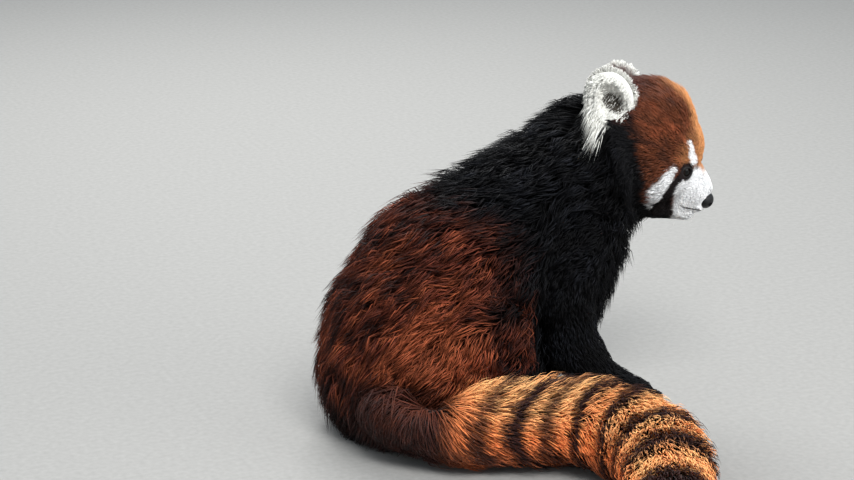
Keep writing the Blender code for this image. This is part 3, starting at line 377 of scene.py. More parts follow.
def settle(tree):
    """Moves the face's marks onto the skin."""
    matrix = head_matrix()
    for stations in MARKS.values():
        for k, (x, y, z, radius) in enumerate(stations):
            spot = matrix.inverted() @ tree.find_nearest(matrix @ Vector((x, y, z)))[0]
            stations[k] = (spot.x, abs(spot.y), spot.z, radius)


def capsule(points, stations):
    """How far points lie outside a chain of places with radii, mirrored to both sides of the head."""
    spots = points * (1, 0, 0) + np.abs(points) * (0, 1, 0) + points * (0, 0, 1)
    best = np.full(len(points), 1e9)
    for a, b in zip(np.array(stations), np.array(stations)[1:]):
        way = b[:3] - a[:3]
        t = np.clip((spots - a[:3]) @ way / (way @ way), 0, 1)
        gap = np.linalg.norm(spots - a[:3] - t[:, None] * way, axis=1) - a[3] - t * (b[3] - a[3])
        best = np.minimum(best, gap)
    return best


def mixed(base, colour, share):
    """Base colours with a share of another laid over them."""
    return base + (np.array(colour) - base) * np.clip(share, 0, 1)[:, None]


def rufous_line(height):
    """How far back the black of chest and belly starts at a height."""
    heights = (0.00, 0.045, 0.120, 0.153, 0.183, 0.228, 0.244, 0.300)
    backs = (-0.050, -0.045, -0.037, -0.022, -0.012, -0.053, -0.066, -0.080)
    return np.interp(height, heights, backs)


def body_marking(points, found, palette):
    """The colours of trunk and legs: rufous over the back and rump, black ahead and below."""
    x, y, z = points.T
    wave = noise(points, 0.035, 11) * 0.018 + noise(points, 0.010, 12) * 0.012 + noise(points, 0.0035, 15) * 0.022
    ahead = x - rufous_line(z) + wave
    colour = np.tile(palette["rufous"], (len(points), 1))
    patch = noise(points, 0.024, 13) * 0.50 + noise(points, 0.0075, 14) * 0.95
    haunch = smooth(0.070, 0.025, np.linalg.norm((points - (-0.095, 0, 0.098)) * (1, 0, 1), axis=1)) * smooth(0.045, 0.075, -y)
    colour = mixed(colour, palette["flame"], smooth(0.10, 0.8, patch + haunch * 0.9) * 0.9)
    rear = smooth(-0.09, -0.16, x) * 0.16
    colour = mixed(colour, palette["umber"], smooth(0.03, 0.46, rear - patch - haunch * 0.8) * 0.95)
    colour = mixed(colour, palette["umber"], smooth(0.090, 0.020, z) * 0.6 * (1 - haunch))
    colour = mixed(colour, palette["umber"], smooth(-0.055, -0.005, ahead) * smooth(0.10, 0.16, z) * 0.7)
    black = mixed(np.tile(palette["black"], (len(points), 1)), palette["smoke"], smooth(0.1, 0.8, patch) * 0.7)
    share = smooth(-0.030, 0.020, ahead)
    legs = np.isin(found["limb"], (HIND_LEFT, HIND_RIGHT))
    knee = np.linalg.norm((points - (-0.020, 0, 0.118)) * (1, 0, 1), axis=1) + wave
    share = np.where(legs & (np.abs(y) > 0.05), share * smooth(0.016, 0.030, knee), share)
    share = np.maximum(share, np.isin(found["limb"], (FORE_LEFT, FORE_RIGHT)) * 1.0)
    low = legs & (found["share"] > 0.55)
    share = np.maximum(share, low * smooth(0.55, 0.66, found["share"] + wave * 4))
    under = smooth(0.025, 0.010, z) * 0.8
    return mixed(mixed(colour, (0, 0, 0), share), (0, 0, 0), under) + black * np.maximum(share, under)[:, None]


def tail_marking(points, found, palette):
    """The colours of the tail: rufous rings with the tail's orange between them and a dark tip, with a painted
    highlight on its upper side and painted shade on its underside.
    """
    share = found["share"] + noise(points, 0.014, 21) * 0.006
    facing = found["out"] @ np.array(RING_FACING.normalized())
    colour = np.tile(palette["tail"], (len(points), 1))
    # Painted highlight: the upper side of the tail, past its root, is lightened toward a cream colour as if lit from
    # above
    high = smooth(-0.2, 0.8, found["out"][:, 2]) * smooth(0.16, 0.26, share)
    between = noise(points, 0.030, 22) * 0.5 + 0.5
    colour = mixed(colour, palette["tail_top_highlight"], high * (0.25 + 0.65 * between))
    # Painted shade: the underside of the tail is darkened toward rufous
    colour = mixed(colour, palette["rufous"], smooth(0.05, -0.75, found["out"][:, 2]) * 0.6)
    for top, front, half, strength in TAIL_RINGS:
        middle = top + (front - top) * np.clip(facing, -0.6, 1)
        band = smooth(half * 1.40, half * 0.95, np.abs(share - middle))
        colour = mixed(colour, palette["ring"], band * strength)
    root = smooth(0.24, 0.16, share)[:, None]
    return colour * (1 - root) + (body_marking(points, found, palette) + palette["rufous"]) * root * 0.22


def face_marking(points, found, palette):
    """The colours of the head: rufous with an orange crown, white muzzle, cheeks and brows, and dark tear stripes."""
    local = found["local"]
    f, s, u = local[:, 0], np.abs(local[:, 1]), local[:, 2]
    fine = noise(points, 0.006, 31) * 0.0018 + noise(points, 0.0025, 32) * 0.0008
    streak = noise(local / (3.0, 1.0, 1.6), 0.0045, 33)
    colour = np.tile(palette["face"], (len(points), 1))
    orange = smooth(0.024, 0.008, s + fine * 2) * smooth(-0.012, 0.012, f) * smooth(-0.010, 0.004, u)
    colour = mixed(colour, palette["orange"], orange * 0.95)
    colour = mixed(colour, palette["orange"], smooth(0.034, 0.050, f) * smooth(-0.008, 0.004, u) * 0.5)
    colour = mixed(colour, palette["umber"], smooth(0.1, 0.9, -streak) * 0.55 * (1 - orange))
    colour = mixed(colour, palette["flame"], smooth(0.2, 0.9, streak) * 0.45 * (1 - orange))
    colour = mixed(colour, palette["maroon"], smooth(-0.004, -0.030, f + fine) * smooth(0.0, 0.02, u) * 0.85)
    edge = np.interp(u, (-0.058, -0.030, -0.010, 0.004, 0.030), (0.029, 0.021, 0.008, -0.004, -0.034))
    colour = mixed(colour, palette["black"], smooth(0.004, -0.004, f - edge + fine * 1.5) * smooth(0.026, 0.010, u))
    shade = capsule(local, MARKS["shade"]) + fine
    colour = mixed(colour, palette["black"], smooth(0.003, -0.004, shade) * 0.9)
    throat = smooth(-0.0495, -0.0540, u + fine) * smooth(0.060, 0.052, f)
    colour = mixed(colour, palette["black"], throat)
    cheek = capsule(local, MARKS["cheek"]) + fine
    colour = mixed(colour, palette["white"], smooth(0.0012, -0.0018, cheek))
    stripe = capsule(local, MARKS["stripe"]) + fine
    colour = mixed(colour, palette["tear"], smooth(0.0012, -0.0015, stripe))
    rear = np.interp(u, (-0.055, -0.040, -0.029, -0.018, -0.012, -0.003), (0.0555, 0.0520, 0.0505, 0.0520, 0.0560, 0.0565))
    muzzle = smooth(-0.0010, 0.0016, f - rear + fine) * smooth(0.0005, -0.0045, u - 0.001 * smooth(0, 0.01, s) + fine)
    colour = mixed(colour, palette["white"], muzzle)
    bridge = smooth(0.010, 0.005, s + fine) * smooth(-0.012, -0.006, u) * smooth(0.072, 0.062, f)
    colour = mixed(colour, palette["orange"], bridge * smooth(0.048, 0.054, f) * 0.7)
    brow = capsule(local, MARKS["brow"]) + fine * 0.6
    colour = mixed(colour, palette["white"], smooth(0.0012, -0.0012, brow))
    eye = np.linalg.norm((local * (1, 0, 1) + np.abs(local) * (0, 1, 0)) - (0.0530, 0.0290, -0.0075), axis=1)
    return mixed(colour, palette["tear"], smooth(0.0098, 0.0082, eye + fine * 0.5))


def ear_marking(points, found, palette, side):
    """The colours of an ear: cream with a dark hollow and a rufous back."""
    spot = in_frame(ear_frame(side), points)
    inner = (spot - (EAR_HOLLOW_SHIFT, 0, 0)) / (np.array(EAR_HOLLOW) * 1.02)
    deep = np.linalg.norm(inner, axis=1)
    fine = noise(points, 0.004, 41) * 0.10
    colour = np.tile(palette["ear"], (len(points), 1))
    hole = np.linalg.norm((spot[:, 1:] - (-0.004 * side, -0.001)) / (0.0105, 0.0155), axis=1) + noise(points, 0.006, 42) * 0.25
    colour = mixed(colour, palette["hollow"], smooth(1.0, 0.7, hole + fine) * (deep < 1.06))
    back = smooth(-0.0030, -0.0070, spot[:, 0] + fine * 0.01)
    return mixed(colour, palette["maroon"], back * (deep >= 1.0) * 0.9)


def marking(points, palette, found=None):
    """The coat's colour at points of the body."""
    found = found or survey(points)
    colour = body_marking(points, found, palette)
    for test, paint in ((found["limb"] == TAIL, tail_marking), (found["limb"] == HEAD, face_marking)):
        part = {key: value[test] for key, value in found.items()}
        colour[test] = paint(points[test], part, palette)
    for number, side in ((EAR_LEFT, 1), (EAR_RIGHT, -1)):
        test = found["limb"] == number
        colour[test] = ear_marking(points[test], None, palette, side)
    return colour


def lie_field(points, normals, found):
    """Which way the coat lies at points of the skin."""
    limb, share = found["limb"], found["share"]
    high = smooth(0.09, 0.17, points[:, 2])[:, None]
    way = np.array((-0.66, 0.0, -0.75)) * (1 - high) + np.array((-0.86, 0.0, -0.50)) * high
    legs = np.isin(limb, (HIND_LEFT, HIND_RIGHT))
    fore = np.isin(limb, (FORE_LEFT, FORE_RIGHT))
    along = np.where(fore, smooth(0.0, 0.35, share), 0.0) + np.where(legs, smooth(0.45, 0.62, share), 0.0)
    way = way * (1 - along)[:, None] + found["course"] * along[:, None]
    front = smooth(0.2, 0.8, normals[:, 0]) * np.isin(limb, (TORSO, BELLY))
    way = way * (1 - front)[:, None] + np.array((0.10, 0.0, -1.0)) * front[:, None]
    tail = limb == TAIL
    root = smooth(0.26, 0.10, share)[:, None]
    way[tail] = (found["course"] * (1 - root) + np.array((-0.35, 0.0, -0.70)) * root + (0, 0, -0.12))[tail]
    local = found["local"]
    from_nose = unit(local - (0.086, 0.0, -0.026)) + (0.0, 0.0, -0.25)
    from_nose[:, 2] -= 0.5 * smooth(0.020, 0.045, np.abs(local[:, 1])) * smooth(0.02, -0.02, local[:, 2])
    head = limb == HEAD
    way[head] = in_world(head_matrix(), from_nose)[head]
    for number, side in ((EAR_LEFT, 1), (EAR_RIGHT, -1)):
        ear = limb == number
        spot = in_frame(ear_frame(side), points[ear])
        radial = spot * (0, 1, 1) + (0, 0, 0.004)
        radial = unit(radial)
        hollow = np.linalg.norm((spot - (EAR_HOLLOW_SHIFT, 0, 0)) / (np.array(EAR_HOLLOW) * 1.03), axis=1) < 1
        crossing = np.array((0.35, 0.65 * side, -0.75))
        radial = np.where(hollow[:, None], radial * 0.25 + crossing, radial)
        way[ear] = in_world(ear_frame(side), radial)
    flat = way - normals * np.sum(way * normals, axis=1, keepdims=True)
    return unit(flat + 1e-6)


def new_object(name, mesh):
    """Puts a mesh in the scene as an object of the same name."""
    thing = bpy.data.objects.new(name, mesh)
    bpy.context.scene.collection.objects.link(thing)
    return thing


def object_from(name, bm):
    """Turns a bmesh into an object and frees it."""
    mesh = bpy.data.meshes.new(name)
    bm.to_mesh(mesh)
    bm.free()
    return new_object(name, mesh)


def applied(thing):
    """Applies an object's modifiers and returns it."""
    graph = bpy.context.evaluated_depsgraph_get()
    mesh = bpy.data.meshes.new_from_object(thing.evaluated_get(graph))
    thing.modifiers.clear()
    old, thing.data = thing.data, mesh
    bpy.data.meshes.remove(old)
    return thing


def boolean(thing, operation, tool):
    """Cuts or joins an object with a tool object, which is removed."""
    cut = thing.modifiers.new("cut", "BOOLEAN")
    cut.operation = operation
    cut.solver = "MANIFOLD"
    cut.object = tool
    applied(thing)
    bpy.data.objects.remove(tool, do_unlink=True)
    return thing


def ride(thing, slot):
    """Moves a finished piece to the frame of the solids, and hangs it under the root empty."""
    thing.data.transform(Matrix.Translation(-CENTRE))
    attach(thing, "root")
    return thing


def need(name):
    """A piece that an earlier operator has made."""
    thing = bpy.data.objects.get(name)
    if thing is None:
        raise RuntimeError(f"{name} is missing, so its operator has to run first")
    return thing


def add_ball(bm, centre, radii, matrix=Matrix(), fine=3):
    """Adds an ellipsoid ball, its radii along the axes of a frame."""
    shape = matrix @ Matrix.Translation(Vector(centre)) @ Matrix.Diagonal((*radii, 1.0))
    bmesh.ops.create_icosphere(bm, subdivisions=fine, radius=1.0, matrix=shape)


def add_globe(bm, matrix, radii, sides):
    """Adds a ball of meridians round the first axis of a frame."""
    shape = matrix @ Matrix.Diagonal((*radii, 1.0)) @ Matrix.Rotation(math.radians(90), 4, "Y")
    bmesh.ops.create_uvsphere(bm, u_segments=sides, v_segments=sides // 2 + 1, radius=1.0, matrix=shape)


def add_chain(bm, stations, matrix=Matrix(), inset=None):
    """Adds balls along a chain, under the coat and close enough to fuse into one limb."""
    for a, b in zip(stations, stations[1:]):
        ends = [skin_radius(s[3], s[5]) if inset is None else s[3] - inset for s in (a, b)]
        length = math.dist(a[:3], b[:3])
        steps = max(2, math.ceil(length / (BALL_STEP * min(ends))))
        for k in range(steps + 1):
            t = k / steps
            x, y, z, width = [a[j] + (b[j] - a[j]) * t for j in (0, 1, 2, 4)]
            radius = ends[0] + (ends[1] - ends[0]) * t
            add_ball(bm, (x, y, z), (radius, radius * width, radius), matrix, 2 if radius < 0.03 else 3)


def add_head(bm):
    """Adds the balls of skull, cheeks, brows, muzzle, lips, jaw and ear roots."""
    matrix = head_matrix()
    for centre, radii, inset in HEAD_BALLS:
        add_ball(bm, centre, [r - inset for r in radii], matrix)
    for (x, y, z), radii, inset in HEAD_PAIRS:
        for side in (1, -1):
            add_ball(bm, (x, side * y, z), [r - inset for r in radii], matrix)
    for chain in (MUZZLE_CHAIN, LIP_CHAIN, JAW_CHAIN):
        add_chain(bm, chain, matrix, MUZZLE_NAP)
    centre, radii = EAR_ROOT
    for side in (1, -1):
        add_ball(bm, (centre.x, side * centre.y, centre.z), radii, matrix)


def add_toes(bm, stations, side):
    """Adds a row of toe bumps round the end of a foot."""
    x, y, z, radius, width, loft = stations[-1]
    for k in range(TOES):
        turn = math.radians(TOE_FAN) * (k / (TOES - 1) - 0.5)
        out = radius - TOE_RADIUS * 0.4
        spot = (x + out * math.cos(turn) + TOE_REACH * 0.3, side * y + out * width * math.sin(turn), TOE_RADIUS * 1.05)
        add_ball(bm, spot, (TOE_RADIUS * 1.25, TOE_RADIUS * 0.72, TOE_RADIUS * 0.92), Matrix(), 2)


def eye_ball(name, side, grow, sides=32):
    """An eyeball, grown by a distance."""
    bm = bmesh.new()
    radius = EYE_RADIUS + grow
    add_globe(bm, eye_frame(side), (radius, radius, radius), sides)
    return object_from(name, bm)


def ear_cup(side):
    """One ear's skin: a round cup hollowed from its outer form."""
    bm = bmesh.new()
    add_globe(bm, ear_frame(side), EAR_OUTER - Vector((EAR_INSET,) * 3), 48)
    cup = object_from("cup", bm)
    bm = bmesh.new()
    add_globe(bm, ear_frame(side) @ Matrix.Translation((EAR_HOLLOW_SHIFT, 0, 0)), EAR_HOLLOW, 48)
    return boolean(cup, "DIFFERENCE", object_from("hollow", bm))


def mouth_spots(tree):
    """The line of the mouth on the skin, from corner to corner, with the skin's normals."""
    marks = MARKS["mouth"]
    line = [Vector((x, -y, z)) for x, y, z, _ in marks[:0:-1]] + [Vector(mark[:3]) for mark in marks]
    matrix = head_matrix()
    return [tree.find_nearest(matrix @ point)[:2] for point in line]


def tree_of(mesh):
    """A search tree over a mesh's faces."""
    bm = bmesh.new()
    bm.from_mesh(mesh)
    tree = BVHTree.FromBMesh(bm)
    bm.free()
    return tree


def tube(bm, spots, radii, sides=6):
    """Adds a closed tube through spots that come with normals, flattened a little along them."""
    loops = []
    for k, ((spot, normal), radius) in enumerate(zip(spots, radii)):
        ahead = (spots[min(k + 1, len(spots) - 1)][0] - spots[max(k - 1, 0)][0]).normalized()
        across = ahead.cross(normal).normalized()
        turns = [2 * math.pi * j / sides for j in range(sides)]
        loops.append([bm.verts.new(spot + radius * (across * math.cos(a) + normal * math.sin(a))) for a in turns])
    for near, far in zip(loops, loops[1:]):
        for j in range(sides):
            bm.faces.new((near[j], near[(j + 1) % sides], far[(j + 1) % sides], far[j]))
    bm.faces.new(loops[0][::-1])
    bm.faces.new(loops[-1])
    bmesh.ops.recalc_face_normals(bm, faces=bm.faces)


def paint(thing, palette):
    """Gives a skin mesh the coat's colours and its unwrap, and marks it for painted shade where it lies under the coat
    of trunk, legs and tail.
    """
    mesh = thing.data
    points = np.empty(len(mesh.vertices) * 3)
    mesh.vertices.foreach_get("co", points)
    points = points.reshape(-1, 3)
    corner = survey(points)
    colour = np.ones((len(points), 4))
    colour[:, :3] = marking(points, palette, corner)
    mesh.attributes.new("coat", "FLOAT_COLOR", "POINT").data.foreach_set("color", colour.ravel())
    # Painted shade: the skin under the coat of trunk, legs and tail gets a low along, so its finish paints it dark
    # between the tufts; head and ears stay light
    mesh.attributes.new("along", "FLOAT", "POINT").data.foreach_set("value", np.where(corner["limb"] < HEAD, 0.25, 0.85))
    corners = np.empty(len(mesh.loops), int)
    mesh.loops.foreach_get("vertex_index", corners)
    totals = np.empty(len(mesh.polygons), int)
    mesh.polygons.foreach_get("loop_total", totals)
    middles = np.empty(len(mesh.polygons) * 3)
    mesh.polygons.foreach_get("center", middles)
    face = survey(middles.reshape(-1, 3))
    spread = {key: np.repeat(value, totals, axis=0) for key, value in face.items()}
    corner = {key: value[corners] for key, value in corner.items()}
    same = corner["limb"] == spread["limb"]
    turn = (corner["angle"] - spread["angle"] + math.pi) % (2 * math.pi) - math.pi
    spread["angle"] = spread["angle"] + np.where(same, turn, 0) * (spread["limb"] != EAR_LEFT)
    spread["share"] = np.where(same, corner["share"], spread["share"])
    layer = mesh.uv_layers.new(name="OFBake")
    layer.uv.foreach_set("vector", unwrapped(spread).ravel())


def tone_group():
    """A shader group: the colour of a hair from root to tip, darker at the root for its underfur and for painted shade
    deep in the coat, with fine streaks, and their height.
    """
    made = bpy.data.node_groups.get("coat tone")
    if made:
        return made
    made = bpy.data.node_groups.new("coat tone", "ShaderNodeTree")
    for name, kind, value in (("Colour", "NodeSocketColor", (0.5, 0.3, 0.2, 1)), ("Along", "NodeSocketFloat", 0.5),
                              ("Root underfur and shade", "NodeSocketFloat", 0.3), ("Size", "NodeSocketFloat", 700.0),
                              ("Streaks", "NodeSocketFloat", 0.3)):
        socket = made.interface.new_socket(name, in_out="INPUT", socket_type=kind)
        socket.default_value = value
    made.interface.new_socket("Colour", in_out="OUTPUT", socket_type="NodeSocketColor")
    made.interface.new_socket("Height", in_out="OUTPUT", socket_type="NodeSocketFloat")
    nodes, links = made.nodes, made.links
    given, out = nodes.new("NodeGroupInput"), nodes.new("NodeGroupOutput")
    place = nodes.new("ShaderNodeTexCoord")
    fine = nodes.new("ShaderNodeTexNoise")
    fine.inputs["Detail"].default_value = 2.0
    links.new(place.outputs["Object"], fine.inputs["Vector"])
    links.new(given.outputs["Size"], fine.inputs["Scale"])
    # Darkens the hair toward its root: darker underfur and painted shade deep in the coat
    rise = nodes.new("ShaderNodeMapRange")
    rise.interpolation_type = "SMOOTHSTEP"
    rise.inputs["From Min"].default_value = 0.08
    rise.inputs["From Max"].default_value = 0.82
    links.new(given.outputs["Along"], rise.inputs["Value"])
    links.new(given.outputs["Root underfur and shade"], rise.inputs["To Min"])
    streak = nodes.new("ShaderNodeMath")
    streak.operation = "MULTIPLY_ADD"
    streak.inputs[2].default_value = 1.0
    centred = nodes.new("ShaderNodeMath")
    centred.operation = "SUBTRACT"
    centred.inputs[1].default_value = 0.5
    links.new(fine.outputs["Fac"], centred.inputs[0])
    links.new(centred.outputs[0], streak.inputs[0])
    links.new(given.outputs["Streaks"], streak.inputs[1])
    both = nodes.new("ShaderNodeMath")
    both.operation = "MULTIPLY"
    links.new(rise.outputs["Result"], both.inputs[0])
    links.new(streak.outputs[0], both.inputs[1])
    scaled = nodes.new("ShaderNodeVectorMath")
    scaled.operation = "SCALE"
    links.new(given.outputs["Colour"], scaled.inputs["Vector"])
    links.new(both.outputs[0], scaled.inputs["Scale"])
    links.new(scaled.outputs["Vector"], out.inputs["Colour"])
    links.new(fine.outputs["Fac"], out.inputs["Height"])
    return made


def coat_material(name, root, streaks, size, rough, gloss, sheen, bump):
    """A finish for skin or tufts whose colour comes from the marking laid on the mesh, darkened where along is low, for
    darker underfur and for painted shade deep in the coat.
    """
    made = bpy.data.materials.get(name)
    if made:
        return made
    made = bpy.data.materials.new(name)
    made.use_nodes = True
    nodes, links = made.node_tree.nodes, made.node_tree.links
    shader = nodes["Principled BSDF"]
    tone = nodes.new("ShaderNodeGroup")
    tone.node_tree = tone_group()
    tone.inputs["Root underfur and shade"].default_value = root
    tone.inputs["Streaks"].default_value = streaks
    tone.inputs["Size"].default_value = size
    for attribute, output, socket in (("coat", "Color", "Colour"), ("along", "Fac", "Along")):
        read = nodes.new("ShaderNodeAttribute")
        read.attribute_name = attribute
        links.new(read.outputs[output], tone.inputs[socket])
    links.new(tone.outputs["Colour"], shader.inputs["Base Color"])
    raised = nodes.new("ShaderNodeBump")
    raised.inputs["Strength"].default_value = bump
    raised.inputs["Distance"].default_value = 0.0006
    links.new(tone.outputs["Height"], raised.inputs["Height"])
    links.new(raised.outputs["Normal"], shader.inputs["Normal"])
    shader.inputs["Roughness"].default_value = rough
    shader.inputs["Specular IOR Level"].default_value = gloss
    shader.inputs["Sheen Weight"].default_value = sheen
    shader.inputs["Sheen Roughness"].default_value = 0.45
    return made


def palette_of(settings):
    """The coat's colours as plain arrays."""
    names = ("rufous", "flame", "umber", "black", "smoke", "face", "orange", "maroon", "white", "tear", "ear", "hollow",
             "tail", "tail_top_highlight", "ring")
    return {name: np.array(getattr(settings, name)) for name in names}


def sampled(skin, weight_of, count, chance):
    """Roots spread over the skin by weight: places, smooth normals and their survey."""
    mesh = skin
    mesh.calc_loop_triangles()
    points = np.empty(len(mesh.vertices) * 3)
    mesh.vertices.foreach_get("co", points)
    points = points.reshape(-1, 3)
    normals = np.empty(len(mesh.vertices) * 3)
    mesh.vertices.foreach_get("normal", normals)
    normals = normals.reshape(-1, 3)
    corners = np.empty(len(mesh.loop_triangles) * 3, int)
    mesh.loop_triangles.foreach_get("vertices", corners)
    corners = np.sort(corners.reshape(-1, 3), axis=1)
    corners = corners[np.lexsort(corners.T)]
    a, b, c = (points[corners[:, k]] for k in range(3))
    areas = np.linalg.norm(np.cross(b - a, c - a), axis=1) / 2
    weights = areas * weight_of(survey((a + b + c) / 3), (a + b + c) / 3)
    sums = np.cumsum(weights)
    marks = (np.arange(count) + chance.random(count)) * sums[-1] / count
    chosen = np.minimum(np.searchsorted(sums, marks), len(sums) - 1)
    u, v = chance.random(count), chance.random(count)
    over = u + v > 1
    u[over], v[over] = 1 - u[over], 1 - v[over]
    mix = np.stack((1 - u - v, u, v), axis=1)[:, :, None]
    roots = np.sum(points[corners[chosen]] * mix, axis=1)
    ups = unit(np.sum(normals[corners[chosen]] * mix, axis=1))
    return roots, ups, survey(roots)


def walked(tree, points):
    """The nearest places on the skin, with its normals there."""
    found = [tree.find_nearest(p)[:2] for p in points]
    return np.array([f[0] for f in found]), np.array([f[1] for f in found])


def gathered(roots, ends, share, group):
    """Draws the ends of tufts towards that of a guide near each root, so that they clump."""
    picks = np.arange(0, len(roots), group)
    search = KDTree(len(picks))
    for k in picks:
        search.insert(roots[k], int(k))
    search.balance()
    guides = np.array([search.find(p)[1] for p in roots])
    offset = ends[guides] - ends
    reach = np.linalg.norm(offset, axis=1, keepdims=True)
    limit = np.minimum(1.0, 0.014 / np.maximum(reach, 1e-6))
    return ends + offset * limit * share, guides


def tuft_shape(rows):
    """The corner numbers of a blade's faces: rows of left, ridge and right, then the tip."""
    quads, threes = [], [(2, 1, 0)]
    for row in range(rows - 1):
        for j in range(3):
            i = (j + 1) % 3
            quads.append((row * 3 + j, row * 3 + i, row * 3 + 3 + i, row * 3 + 3 + j))
    last = (rows - 1) * 3
    for j in range(3):
        threes.append((last + j, last + (j + 1) % 3, last + 3))
    return quads, threes


def bent(starts, middles, ends, share):
    """Places at a share of curves through three places each."""
    control = 2 * middles - (starts + ends) / 2
    return (1 - share) ** 2 * starts + 2 * share * (1 - share) * control + share * share * ends


def hues(starts, middles, ends, rows, spread, stray, only, palette):
    """The marking at each row of tufts and at their tips, read up to a spread along them from the middle."""
    shares = [0.6 + (share - 0.6) * spread for share in (*ROW_SHARES[rows], 1.0)]
    places = [bent(starts, middles, ends, share) + stray for share in shares]
    return np.stack([marking(place, palette, survey(place, only)) for place in places], axis=1)


def tufts(name, starts, middles, ends, ups, widths, colours, spots, rows, slot, finish, chance):
    """Builds one coat piece of closed, tapered, bent blades through three places each."""
    count = len(starts)
    shares = np.array(ROW_SHARES[rows])
    control = 2 * middles - (starts + ends) / 2
    size = rows * 3 + 1
    corners = np.empty((count, size, 3))
    roll = chance.uniform(-0.6, 0.6, count)[:, None]
    for row, (s, breadth) in enumerate(zip(shares, ROW_BREADTHS[rows])):
        spot = bent(starts, middles, ends, s)
        heading = unit((1 - s) * (control - starts) + s * (ends - control))
        side = unit(np.cross(heading, ups))
        over = np.cross(side, heading)
        side, over = side * np.cos(roll) + over * np.sin(roll), over * np.cos(roll) - side * np.sin(roll)
        half = (widths * breadth / 2)[:, None]
        corners[:, row * 3] = spot - side * half
        corners[:, row * 3 + 1] = spot + over * half * 0.62
        corners[:, row * 3 + 2] = spot + side * half
    corners[:, -1] = ends
    corners[:, :, 2] = np.maximum(corners[:, :, 2], LOWEST + 0.0004 * (np.arange(size) % 3 == 1))
    quads, threes = tuft_shape(rows)
    pattern = np.array([i for face in quads + threes for i in face])
    totals = np.array([4] * len(quads) + [3] * len(threes))
    index = (pattern[None, :] + np.arange(count)[:, None] * size).ravel()
    mesh = bpy.data.meshes.new(name)
    mesh.vertices.add(count * size)
    mesh.vertices.foreach_set("co", corners.ravel())
    mesh.loops.add(len(index))
    mesh.loops.foreach_set("vertex_index", index)
    sizes = np.tile(totals, count)
    mesh.polygons.add(len(sizes))
    mesh.polygons.foreach_set("loop_start", np.concatenate(((0,), np.cumsum(sizes)[:-1])))
    mesh.polygons.foreach_set("loop_total", sizes)
    mesh.update(calc_edges=True)
    colour = np.ones((count, size, 4))
    colour[:, :, :3] = colours[:, [min(j // 3, rows) for j in range(size)]]
    mesh.attributes.new("coat", "FLOAT_COLOR", "POINT").data.foreach_set("color", colour.ravel())
    along = np.append(np.repeat(shares, 3), 1.0)
    mesh.attributes.new("along", "FLOAT", "POINT").data.foreach_set("value", np.tile(along, count))
    aside = np.append(np.tile((-0.5, 0.0, 0.5), rows), 0.0)
    shift = np.stack((aside, along - 0.5), axis=1) * PATCH
    place = spots[:, None, :] + shift[None]
    layer = mesh.uv_layers.new(name="OFBake")
    layer.uv.foreach_set("vector", place.reshape(-1, 2)[index].ravel())
    mesh.materials.append(finish)
    mesh.shade_smooth()
    thing = new_object(name, mesh)
    return ride(thing, slot)


def combed(skin, weight_of, count, length_of, breadth_of, lift_of, settings, seed, look):
    """Roots, bends and ends of tufts combed along the skin, with the colours of their rows, darkened with painted shade
    where tufts stand low in the coat.
    """
    # shade sets how far painted shade darkens the tufts that stand low in the coat; it also scales their random tone
    # and the spread of their heights
    rows, group, clump, curl, stray, spread, shade, only = look
    chance = np.random.default_rng(seed)
    roots, ups, found = sampled(skin, weight_of, count, chance)
    tree = tree_of(skin)
    heading = lie_field(roots, ups, found)
    twist = chance.normal(0, 0.20, len(roots)) + (noise(roots, 0.022, seed) + noise(roots, 0.009, seed + 1) * 0.7) * curl
    side = np.cross(heading, ups)
    heading = unit(heading * np.cos(twist)[:, None] + side * np.sin(twist)[:, None])
    guard = chance.random(len(roots)) < 0.12
    length = length_of(found, roots) * chance.uniform(0.72, 1.12, len(roots)) * np.where(guard, 1.18, 1.0)
    half, half_up = walked(tree, roots + heading * (length / 2)[:, None])
    half_found = survey(half)
    on = lie_field(half, half_up, half_found)
    on = unit(on * 0.7 + heading * 0.5)
    far, far_up = walked(tree, half + on * (length / 2)[:, None])
    far_found = survey(far)
    height = np.where(guard, chance.uniform(1.0, 1.22, len(roots)), chance.uniform(0.42, 1.04, len(roots)))
    height = 1 - (1 - height) * min(1.0, 0.45 + shade)
    rise = (height * (1 + 0.22 * noise(roots, 0.012, seed + 2)))[:, None]
    sway = side * (chance.normal(0, 0.05, len(roots)) * length)[:, None]
    middles = half + half_up * (lift_of(half_found, half) * 0.74)[:, None] * rise + sway
    ends = far + far_up * lift_of(far_found, far)[:, None] * rise - sway * 0.6
    ends, guides = gathered(roots, ends, clump, group)
    starts = roots - ups * 0.0012
    aside = chance.normal(0, 1, (len(roots), 3)) * stray
    colours = hues(starts, middles, ends, rows, spread, aside, only, palette_of(settings))
    light = 1 + (chance.normal(0, 0.16, len(roots)) + chance.normal(0, 0.24, len(roots))[guides]) * (0.4 + shade)
    # Painted shade: tufts that stand lower in the coat are darkened, by up to the share in shade
    light = light * (1.05 - shade + shade * smooth(0.42, 0.95, rise[:, 0]))
    warm = 1 + chance.normal(0, 0.025, (len(roots), 3))
    # Random tone and painted shade change white tufts less than dark ones
    change = (np.clip(light, 0.20, 1.7)[:, None] * warm)[:, None, :] - 1
    colours = np.clip(colours * (1 + change * (1 - 0.8 * colours.mean(axis=2, keepdims=True))), 0.001, 0.95)
    widths = breadth_of(found, roots) * chance.uniform(0.70, 1.25, len(roots)) * np.where(guard, 0.7, 1.0)
    return starts, middles, ends, ups, widths, colours, unwrapped(found), found


